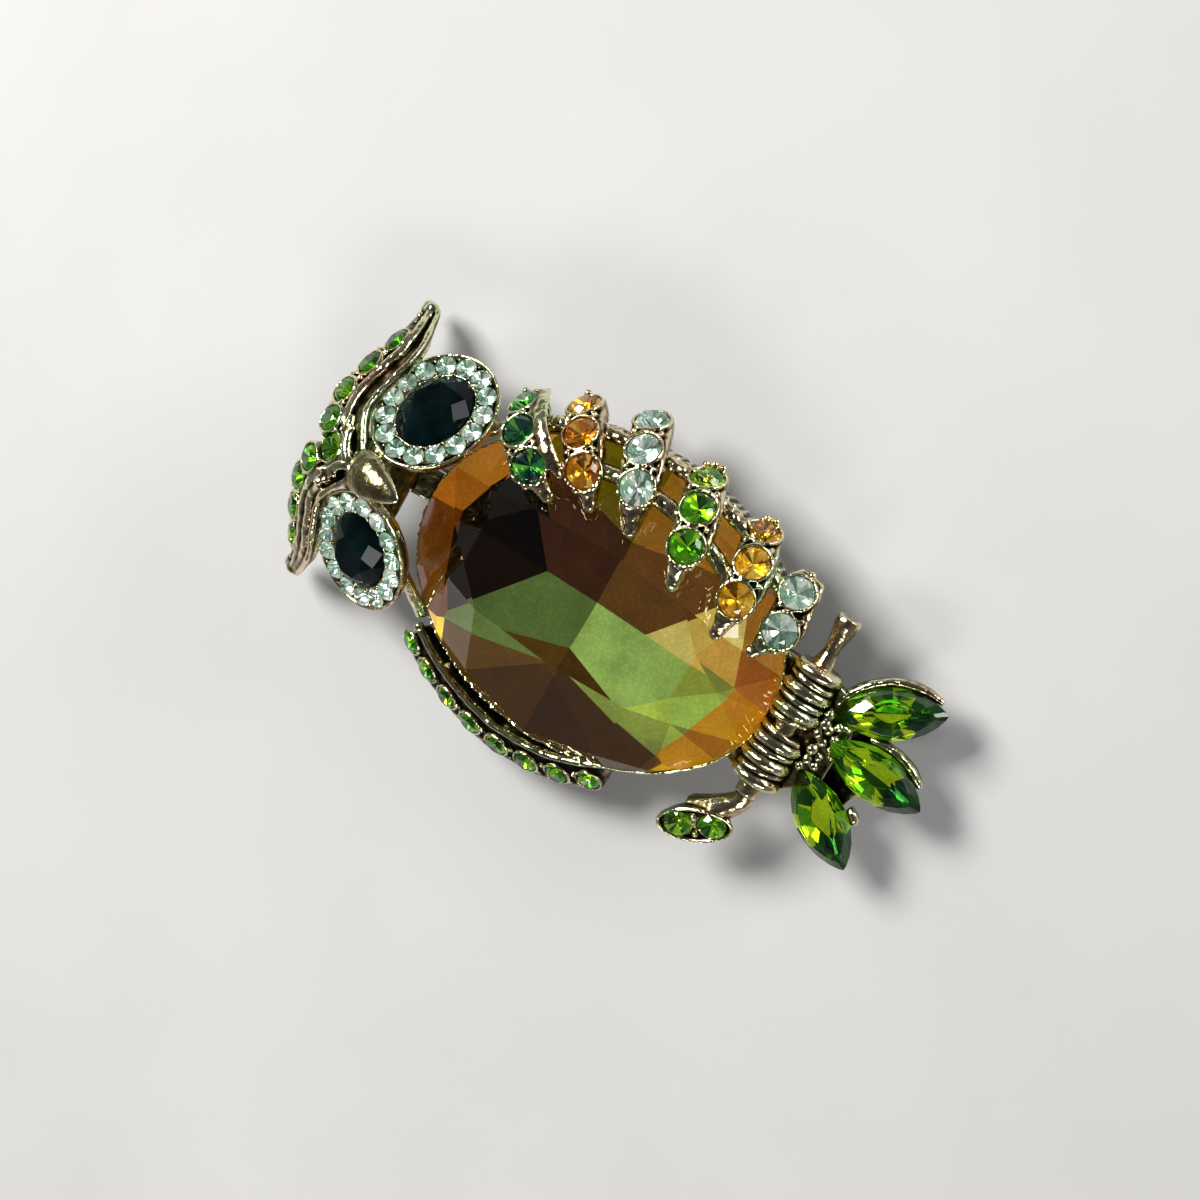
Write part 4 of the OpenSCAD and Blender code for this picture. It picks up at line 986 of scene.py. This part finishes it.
# ------------------------ small cut stones
# Each kind: glass of its front, the record's slot, and tints that its back's facets are drawn from, painted
# reflections that the foil glows with
KINDS = {
    "olive": (OLIVE_GLASS, "olive_glass", [
        (0.18, 0.46, 0.03), (0.05, 0.18, 0.02), (0.70, 0.95, 0.12), (0.02, 0.08, 0.01), (0.12, 0.34, 0.03)]),
    "moss": (OLIVE_GLASS, "olive_glass", [
        (0.10, 0.34, 0.02), (0.03, 0.12, 0.01), (0.02, 0.07, 0.01), (0.60, 0.95, 0.08), (0.16, 0.50, 0.03)]),
    "leaf": (LEAF_GLASS, "olive_glass", [
        (0.30, 0.62, 0.04), (0.05, 0.20, 0.02), (0.80, 1.0, 0.20), (0.02, 0.09, 0.02), (0.45, 0.80, 0.08)]),
    "teal": (TEAL_GLASS, "olive_glass", [
        (0.06, 0.30, 0.13), (0.01, 0.08, 0.07), (0.40, 0.80, 0.16), (0.01, 0.03, 0.03), (0.03, 0.16, 0.15)]),
    "gold": (GOLD_GLASS, "amber_glass", [
        (1.0, 0.62, 0.06), (0.55, 0.26, 0.03), (1.0, 0.85, 0.30), (0.95, 0.60, 0.08), (0.22, 0.09, 0.01)]),
    "honey": (HONEY_GLASS, "amber_glass", [
        (0.85, 0.44, 0.05), (0.30, 0.12, 0.015), (1.0, 0.80, 0.30), (0.16, 0.06, 0.01), (0.60, 0.28, 0.03)]),
    "pale": (PALE_GLASS, "pale_glass", [
        (0.85, 0.98, 0.84), (0.42, 0.64, 0.48), (1.0, 1.0, 0.95), (0.92, 1.0, 0.90), (0.16, 0.26, 0.20),
        (0.30, 0.48, 0.38)]),
}
FEATHER_KINDS = ["teal", "honey", "pale", "moss", "gold", "pale"]
CLEAR = (1, 1, 1)


class Gems:
    """Cut stones of one piece: each face has a part, front or back, and a tint; the back's tints are painted
    reflections.
    """

    def __init__(self, name, node_name, kind):
        self.name, self.node_name = name, node_name
        self.glass, self.slot, self.palette = KINDS[kind]
        self.shape, self.part, self.tint = Shape(), [], []

    def add(self, verts, top, low, m):
        self.shape.add(verts, top + low, m)
        self.part += [0] * len(top) + [1] * len(low)
        self.tint += [CLEAR] * len(top)
        # painted reflections: each back facet takes a random dark or bright tint from the palette
        for _ in low:
            base = np.array(random.choice(self.palette))
            self.tint.append(tuple(np.clip(base * random.uniform(0.75, 1.1), 0, 1)))

    def done(self):
        verts = to_row(np.concatenate(self.shape.v))
        obj = object_of(self.name, verts, self.shape.f, [self.glass, SMALL_FOIL])
        obj.data.polygons.foreach_set("material_index", self.part)
        set_tints(obj.data, self.tint)
        face_out(obj.data)
        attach(obj, "root")
        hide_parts(self.node_name)


CROWN_H, BACK_H, TABLE_R = 0.19, 0.34, 0.31  # of a round brilliant, as shares of its diameter
STAR_AT, EDGE_AT, UNDER_AT, BACK_AT = 8, 16, 32, 48  # where the rings' vertices start, after the table's


def ring_step(start, count, k):
    return start + k % count


def crown_faces():
    """Table, stars, kites and girdle facets over rings of 8, 8, 16 and 16 vertices."""
    faces = [tuple(range(8))]
    for k in range(8):
        star, edge = STAR_AT + k, EDGE_AT + 2 * k
        faces += [(k, star, (k + 1) % 8), (k, ring_step(STAR_AT, 8, k - 1), edge, star),
                  (star, edge, edge + 1), (star, edge + 1, ring_step(EDGE_AT, 16, 2 * k + 2))]
    return faces + [(EDGE_AT + k, UNDER_AT + k, ring_step(UNDER_AT, 16, k + 1), ring_step(EDGE_AT, 16, k + 1))
                    for k in range(16)]


def brilliant(d):
    """A round brilliant with sixteen wedges below."""
    mid_r = (TABLE_R + 0.5) / 2
    star_z = CROWN_H - (mid_r * cos(22.5) - TABLE_R) * (CROWN_H / (0.5 - TABLE_R))
    verts = np.concatenate([
        oval(8, TABLE_R * d, TABLE_R * d, CROWN_H * d), oval(8, mid_r * d, mid_r * d, star_z * d, 22.5),
        oval(16, 0.5 * d, 0.5 * d), oval(16, 0.5 * d, 0.5 * d, -0.025 * d), [[0, 0, -BACK_H * d]]])
    return verts, crown_faces(), [(BACK_AT, ring_step(UNDER_AT, 16, k + 1), UNDER_AT + k) for k in range(16)]


def round_gem(name, node_name, frames, d, kind):
    gems = Gems(name, node_name, kind)
    for m in frames:
        gems.add(*brilliant(d), m @ turned("Z", random.uniform(0, 45)))
    gems.done()


def make_small_stones():
    for f, feather in enumerate(FEATHERS):
        for k in range(feather.count):
            name = f"feather_{f + 1}_stone_{k + 1}"
            round_gem("gem_" + name, name, [feather.stone_frame(k)], WING_D, FEATHER_KINDS[f])
    for s, side in ((-1, "left"), (1, "right")):
        round_gem("gem_halo_" + side, "halo_" + side, halo_frames(s), HALO_D * 1.04, "pale")
    for i in range(9):
        round_gem(f"gem_brow_{i + 1}", f"brow_stone_{i + 1}", [brow_frame(i)], BROW_D, "moss")
    round_gem("gem_side", "side_stones", [side_frame(i) for i in range(SIDE_COUNT)], SIDE_D * 1.08, "moss")
    for i in (0, 1):
        round_gem(f"gem_cup_{i + 1}", f"cup_stone_{i + 1}", [cup_stone_frame(i)], CUP_D, "olive")


def make_eye_stone(s, side):
    verts = np.concatenate([
        oval(8, EYE_L * 0.28, EYE_W * 0.27, 1.5, 22.5), oval(8, EYE_L * 0.40, EYE_W * 0.40, 0.82, 45),
        oval(16, EYE_L / 2, EYE_W / 2, 0, 22.5), oval(16, EYE_L / 2, EYE_W / 2, -0.15, 22.5),
        oval(8, EYE_L * 0.2, EYE_W * 0.16, -1.05, 45)])
    faces = crown_faces() + [tuple(range(BACK_AT, BACK_AT + 8))]
    for k in range(8):
        faces.append((BACK_AT + k, ring_step(BACK_AT, 8, k + 1),
                      *[ring_step(UNDER_AT, 16, 2 * k + j) for j in (3, 2, 1)]))
    obj = object_of("gem_eye_" + side, to_row(apply(stone_in_eye(s), verts)), faces, [BLACK_GLASS])
    face_out(obj.data)
    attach(obj, "root")
    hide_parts("eye_stone_" + side)


# Tail stones: rings from the table to the belly (height, share of the outline), and painted reflections as
# tints of the back's facets
TAIL_RINGS = [(1.35, 0.5), (0.85, 0.78), (0, 1), (-0.12, 1), (-0.62, 0.66), (-1.02, 0.34)]
TAIL_DARK = ((0.012, 0.06, 0.03), (0.006, 0.03, 0.03), (0.03, 0.12, 0.04))
TAIL_GREEN = ((0.10, 0.30, 0.02), (0.02, 0.09, 0.01), (0.40, 0.75, 0.05))
TAIL_SPARK = ((1.0, 1.0, 0.05), (0.85, 0.95, 0.05), (0.16, 0.36, 0.02), (0.03, 0.12, 0.01),
              (0.02, 0.07, 0.01))


def make_tail_stone(i, side):
    gems = Gems("gem_tail_" + side, "tail_stone_" + side, "leaf")
    keel = [[TAIL_L * 0.3, 0, -TAIL_BACK], [TAIL_L * 0.7, 0, -TAIL_BACK]]
    verts = np.concatenate([*[navette_ring(z, k, 10) for z, k in TAIL_RINGS], keel])
    c = (len(verts) - 2) // len(TAIL_RINGS)
    up, down = [tuple(range(c))], []
    for k in range(c):
        for a in range(5):  # between ring a and the next; all but the girdle's quads are split to sparkle
            p, q, r, s = a * c + k, (a + 1) * c + k, (a + 1) * c + (k + 1) % c, a * c + (k + 1) % c
            if a == 2:
                up.append((p, q, r, s))
            elif a < 2:
                up += [(p, q, r), (p, r, s)]
            else:
                down += [(p, q, r), (p, r, s)] if (k + a) % 2 else [(p, q, s), (q, r, s)]
        ends = [6 * c + (0 if verts[v][0] < TAIL_L / 2 else 1) for v in (q, r)]
        down.append((q, ends[0], r) if ends[0] == ends[1] else (q, *ends, r))
    gems.add(verts, up, down, tail_frame(i))
    # painted reflections by place: dark near the far tip, green on one side and at the near end, sparks
    # between
    for k, face in enumerate(down):
        x, y, _ = np.mean([verts[v] for v in face], axis=0)
        if x > TAIL_L * 0.66:
            tints = TAIL_DARK
        elif y > TAIL_W * 0.2 or x < TAIL_L * 0.2:
            tints = TAIL_GREEN
        else:
            tints = TAIL_SPARK
        gems.tint[len(up) + k] = tuple(np.array(random.choice(tints)) * random.uniform(0.8, 1.0))
    gems.done()


# ------------------------ body stone
# Tags of its facets; those of the back count up from BACK
TABLE, MAIN, STAR, LOWER, UPPER, BACK = 1, 20, 30, 40, 44, 100
# Painted shade: grey tints that dim the table and the front's other facets, which the back's glow makes up
# for
TABLE_TINT, OUTER_TINT = 0.45, 0.75
PLAIN = (OUTER_TINT,) * 3
QUARTERS = [(-1, -1), (-1, 1), (1, -1), (1, 1)]  # sides of x and y

# The back's inner facets lie on z = a * |x| + b * |y| + c: the four in the middle, the pairs beside the keel,
# those towards the ends and those beside the middle. Each row: (a, b, c), then the display colour that shows
# through the table in each quarter, which the facet glows with as a painted reflection.
INNER_BACK = [
    ((0.15, 0.09, -STONE_BACK), [(114, 142, 72), (84, 106, 50), (92, 62, 26), (58, 33, 18)]),
    ((0.078, 0.182, -4.54), [(120, 148, 72), (22, 12, 5), (196, 180, 96), (9, 6, 3)]),
    ((0.12, 0.30, -6.3), [(160, 116, 16), (92, 52, 12), (150, 100, 36), (150, 98, 30)]),
    ((0.28, 0.05, -4.685), [(62, 42, 9), (80, 56, 16), (140, 96, 34), (92, 80, 9)]),
]
# The outer ones touch a bowl at shares of half the stone. Each row: those shares, then the colours as above.
OUTER_BACK = [
    ((0.78, 0.16), [(64, 30, 6), (90, 50, 15), (115, 98, 18), (110, 95, 20)]),
    ((0.66, 0.52), [(92, 66, 12), (255, 228, 60), (190, 150, 60), (205, 160, 60)]),
    ((0.30, 0.88), [(245, 165, 40), (200, 108, 20), (132, 62, 14), (170, 80, 14)]),
    ((0.95, 0.42), [(70, 34, 6), (255, 215, 60), (170, 130, 60), (150, 120, 30)]),
    ((0.72, 0.78), [(205, 160, 16), (255, 200, 110), (135, 105, 85), (190, 100, 22)]),
]
# Tints of the front's facets, painted light and shade that make them lighter or darker by quarter: one column
# for each quarter
CROWN_PAINTED_TINTS = {
    21: [(0.45, 0.30, 0.14), (1.0, 0.92, 0.60), (0.60, 0.46, 0.26), (0.80, 0.66, 0.36)],
    22: [(1.0, 0.92, 0.40), (0.62, 0.44, 0.20), (0.42, 0.20, 0.08), (0.50, 0.30, 0.12)],
    30: [(0.40, 0.28, 0.14), (0.90, 0.80, 0.62), (0.60, 0.46, 0.28), (0.60, 0.48, 0.26)],
    31: [(0.92, 0.66, 0.22), (0.80, 0.66, 0.44), (0.42, 0.30, 0.17), (0.90, 0.72, 0.40)],
    32: [(1.0, 0.76, 0.24), (0.45, 0.34, 0.20), (0.58, 0.36, 0.14), (0.40, 0.26, 0.14)],
    41: [(0.90, 0.72, 0.26), (1.0, 0.95, 0.75), (0.55, 0.50, 0.52), (0.85, 0.70, 0.40)],
    42: [(0.95, 0.60, 0.36), (0.55, 0.36, 0.16), (0.75, 0.42, 0.18), (0.85, 0.50, 0.22)],
    44: [PLAIN, (1.0, 0.90, 0.50), (0.95, 0.76, 0.50), (0.60, 0.42, 0.18)],
    45: [(0.40, 0.22, 0.10), PLAIN, PLAIN, PLAIN],
}


def seen(colour, tint):
    """Glow of a back facet, a painted reflection, that shows a display colour through amber glass of a front
    facet's tint.
    """
    glass = np.sqrt(np.array(AMBER) * tint) * 0.95
    return ((np.array(colour) / 255 + 0.055) / 1.055) ** 2.4 / glass


def painted_crown_tint(tag, centre):
    """Tint of a facet of the stone's front: painted light and shade by quarter, with the main facets darker
    on the left.
    """
    left, up = centre[0] < 0, centre[1] > 0
    if tag == TABLE:
        return (TABLE_TINT,) * 3
    if tag == MAIN:
        return (0.24, 0.15, 0.07) if left else (0.46, 0.46, 0.16)
    return CROWN_PAINTED_TINTS.get(tag, [PLAIN] * 4)[QUARTERS.index((-1 if left else 1, 1 if up else -1))]


def crown_facets():
    """Point, normal and tag of the front's facets in one quarter."""
    def scaled(x, y, z):
        return np.array([x * HALF_W, y * HALF_L, z * STONE_CROWN])

    def normal_of(a, b, c):
        n = np.cross(b - a, c - a)
        return n if n[2] > 0 else -n

    on_girdle = [scaled(cos(a), sin(a), 0.0) for a in MAIN_ANGLES]
    between = [scaled(cos(26.5), sin(26.5), 0.0), scaled(cos(63.6), sin(63.6), 0.0), scaled(0.0, 1.0, 0.0)]
    apex = [(meet_x(0, 0.39), 0.39), (meet_x(1, 0.66), 0.66), (0.0, 0.775)]
    apex = [scaled(x, y, main_height(k, x, y)) for k, (x, y) in enumerate(apex)]
    corner = [scaled(x, y, 1.0) for x, y in CORNERS + [(-CORNERS[2][0], CORNERS[2][1])]]
    facets = []
    for k, a in enumerate(MAIN_ANGLES):
        slope = (cos(a) / HALF_W, sin(a) / HALF_L, 1 / (STONE_CROWN * main_slope(k)))
        facets.append((corner[k], slope, MAIN + k))
        facets.append((corner[k], normal_of(corner[k], corner[k + 1], apex[k]), STAR + k))
        facets.append((apex[k], normal_of(apex[k], on_girdle[k], between[k]), LOWER + k))
        if k < 2:
            facets.append((apex[k], normal_of(apex[k], on_girdle[k + 1], between[k]), UPPER + k))
    return facets


def make_body_stone():
    """Cuts an oval prism by the plane of each facet in turn."""
    n = 120
    bm = bmesh.new()
    low, high = [[bm.verts.new(p) for p in oval(n, HALF_W, HALF_L, z)] for z in (-9, 9)]
    bm.faces.new(low[::-1])
    bm.faces.new(high)
    for k in range(n):
        bm.faces.new((low[k], low[(k + 1) % n], high[(k + 1) % n], high[k]))
    layer = bm.faces.layers.int.new("plane")

    def cut(point, normal, tag):
        made = bmesh.ops.bisect_plane(bm, geom=bm.verts[:] + bm.edges[:] + bm.faces[:], dist=1e-5,
                                      plane_co=point, plane_no=normal, clear_outer=True)
        edges = [e for e in made["geom_cut"] if isinstance(e, bmesh.types.BMEdge)]
        if len(edges) > 2:
            for f in bmesh.ops.contextual_create(bm, geom=edges)["faces"]:
                f[layer] = tag

    cut((0, 0, STONE_CROWN), (0, 0, 1), TABLE)
    done = set()
    for point, normal, tag in crown_facets():
        for sides in QUARTERS:
            q, m = np.array(point) * (*sides, 1), np.array(normal) * (*sides, 1)
            key = tuple(np.round(np.append(unit(m), unit(m) @ q), 4))
            if key not in done:  # a facet on an axis is its own mirror image
                done.add(key)
                cut(q, m, tag)
    glows = []
    for (a, b, c), colours in INNER_BACK:
        for (sx, sy), colour in zip(QUARTERS, colours):
            cut((0, 0, c), (sx * a, sy * b, -1), BACK + len(glows))
            glows.append(seen(colour, TABLE_TINT))
    depth = STONE_BACK - GIRDLE_T
    for shares, colours in OUTER_BACK:
        for sides, colour in zip(QUARTERS, colours):
            x, y = np.array(shares) * sides
            touch = (x * HALF_W, y * HALF_L, -GIRDLE_T - depth * (1 - x * x - y * y))
            cut(touch, (2 * depth * x / HALF_W, 2 * depth * y / HALF_L, -1.0), BACK + len(glows))
            glows.append(seen(colour, OUTER_TINT))
    bmesh.ops.recalc_face_normals(bm, faces=bm.faces[:])
    # front facets take painted light and shade, back facets their painted-reflection glow
    tints = []
    for f in bm.faces:
        tag, back = f[layer], f[layer] >= BACK
        f.material_index = 1 if back else 0
        tints.append(glows[tag - BACK] if back else painted_crown_tint(tag, f.calc_center_median()))
    for v in bm.verts:
        v.co = to_row(np.array(v.co))
    mesh = bpy.data.meshes.new("gem_body")
    bm.to_mesh(mesh)
    bm.free()
    set_tints(mesh, tints)
    mesh.materials.append(AMBER_GLASS)
    mesh.materials.append(BODY_FOIL)
    obj = linked("gem_body", mesh)
    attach(obj, "root")
    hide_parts("body_stone")


# ------------------------ stage
FLOOR_HALF = 3.0
# The camera was fitted to the photograph: direction to it, roll, distance in mm, and its lens in pixels
VIEW, ROLL, DISTANCE = unit([0.2381, -0.2220, 0.9455]), -56.9, 250
FRAME_PX, FOCAL_PX, SHIFT_PX, SENSOR = 1200, 2555, (4, 3), 36
LEVEL = unit(np.cross((0, 1, 0), VIEW))
RIGHT = cos(ROLL) * LEVEL + sin(ROLL) * np.cross(VIEW, LEVEL)
UP = -sin(ROLL) * LEVEL + cos(ROLL) * np.cross(VIEW, LEVEL)
# Soft lights: direction along the picture's right, its up and towards the camera, then distance, size, watts
LIGHTS = {
    "key": ((-0.75, 0.55, 0.75), 0.55, (0.22, 0.22), 4.8, (1.0, 0.98, 0.94)),
    "fill": ((0.9, 0.35, 0.7), 0.6, (0.34, 0.22), 2.1, (0.97, 0.99, 1.0)),
    "low": ((-0.2, -0.95, 0.55), 0.6, (0.28, 0.10), 1.3, (1.0, 0.98, 0.94)),
}
SKY = [(0.0, 0.20), (0.30, 0.22), (0.70, (0.08, 0.08, 0.082)), (1.0, (0.045, 0.045, 0.046))]


def make_floor():
    h = FLOOR_HALF
    mat, tree = new_tree("pale_floor")
    stains = cloud(tree, scale=30.0, detail=4.0)
    weave = bump(tree, cloud(tree, scale=900.0, detail=3.0), strength=0.15, distance=0.0001)
    surface(tree, {"Base Color": ramp(tree, stains, [(0.3, (0.47, 0.47, 0.475)), (0.7, (0.50, 0.50, 0.505))]),
                   "Roughness": 0.9, "Normal": weave})
    obj = object_of("floor", [(-h, -h, 0), (h, -h, 0), (h, h, 0), (-h, h, 0)], [(0, 1, 2, 3)], [mat])


def placed(obj, x, y, z, at):
    m = np.eye(4)
    m[:3, 0], m[:3, 1], m[:3, 2], m[:3, 3] = x, y, z, at
    obj.matrix_world = Matrix(m)


def make_camera():
    data = bpy.data.cameras.new("camera")
    data.sensor_width = SENSOR
    data.lens = FOCAL_PX * SENSOR / FRAME_PX
    data.shift_x, data.shift_y = [px / FRAME_PX for px in SHIFT_PX]
    data.clip_start, data.clip_end = 0.01, 10
    data.dof.use_dof = False
    obj = linked("camera", data)
    placed(obj, RIGHT, UP, VIEW, (DISTANCE * VIEW - MIDDLE) * MM)
    bpy.context.scene.camera = obj


def make_light(name, direction, distance, size, power, colour):
    data = bpy.data.lights.new(name, "AREA")
    data.shape = "RECTANGLE"
    data.size, data.size_y = size
    data.energy = power
    data.color = colour
    right, up, out = direction
    d = unit(right * RIGHT + up * UP + out * VIEW)
    x = unit(np.cross((0, 0, 1), d))
    placed(linked(name, data), x, np.cross(d, x), d, d * distance)


def make_world():
    world = bpy.data.worlds.new("studio")
    bpy.context.scene.world = world
    world.use_nodes = True
    tree = world.node_tree
    tree.nodes.clear()
    where = node(tree, "ShaderNodeTexCoord").outputs["Generated"]
    height = node(tree, "ShaderNodeSeparateXYZ", {"Vector": where}).outputs["Z"]
    back = node(tree, "ShaderNodeBackground", {"Color": ramp(tree, height, SKY), "Strength": 0.9})
    node(tree, "ShaderNodeOutputWorld", {"Surface": back.outputs[0]})


make_cup()
for number in range(len(FEATHERS)):
    make_feather(number)
make_wing()
make_side()
make_eye(-1, "left")
make_eye(1, "right")
make_brow()
make_beak()
make_mask()
make_perch()
make_toes()
make_tail()
make_pin()
make_small_stones()
make_eye_stone(-1, "left")
make_eye_stone(1, "right")
for number, tail_side in enumerate(("left", "middle", "right")):
    make_tail_stone(number, tail_side)
make_body_stone()
make_floor()
make_camera()
make_world()
for light, values in LIGHTS.items():
    make_light(light, *values)
bpy.context.scene.view_settings.view_transform = "Standard"
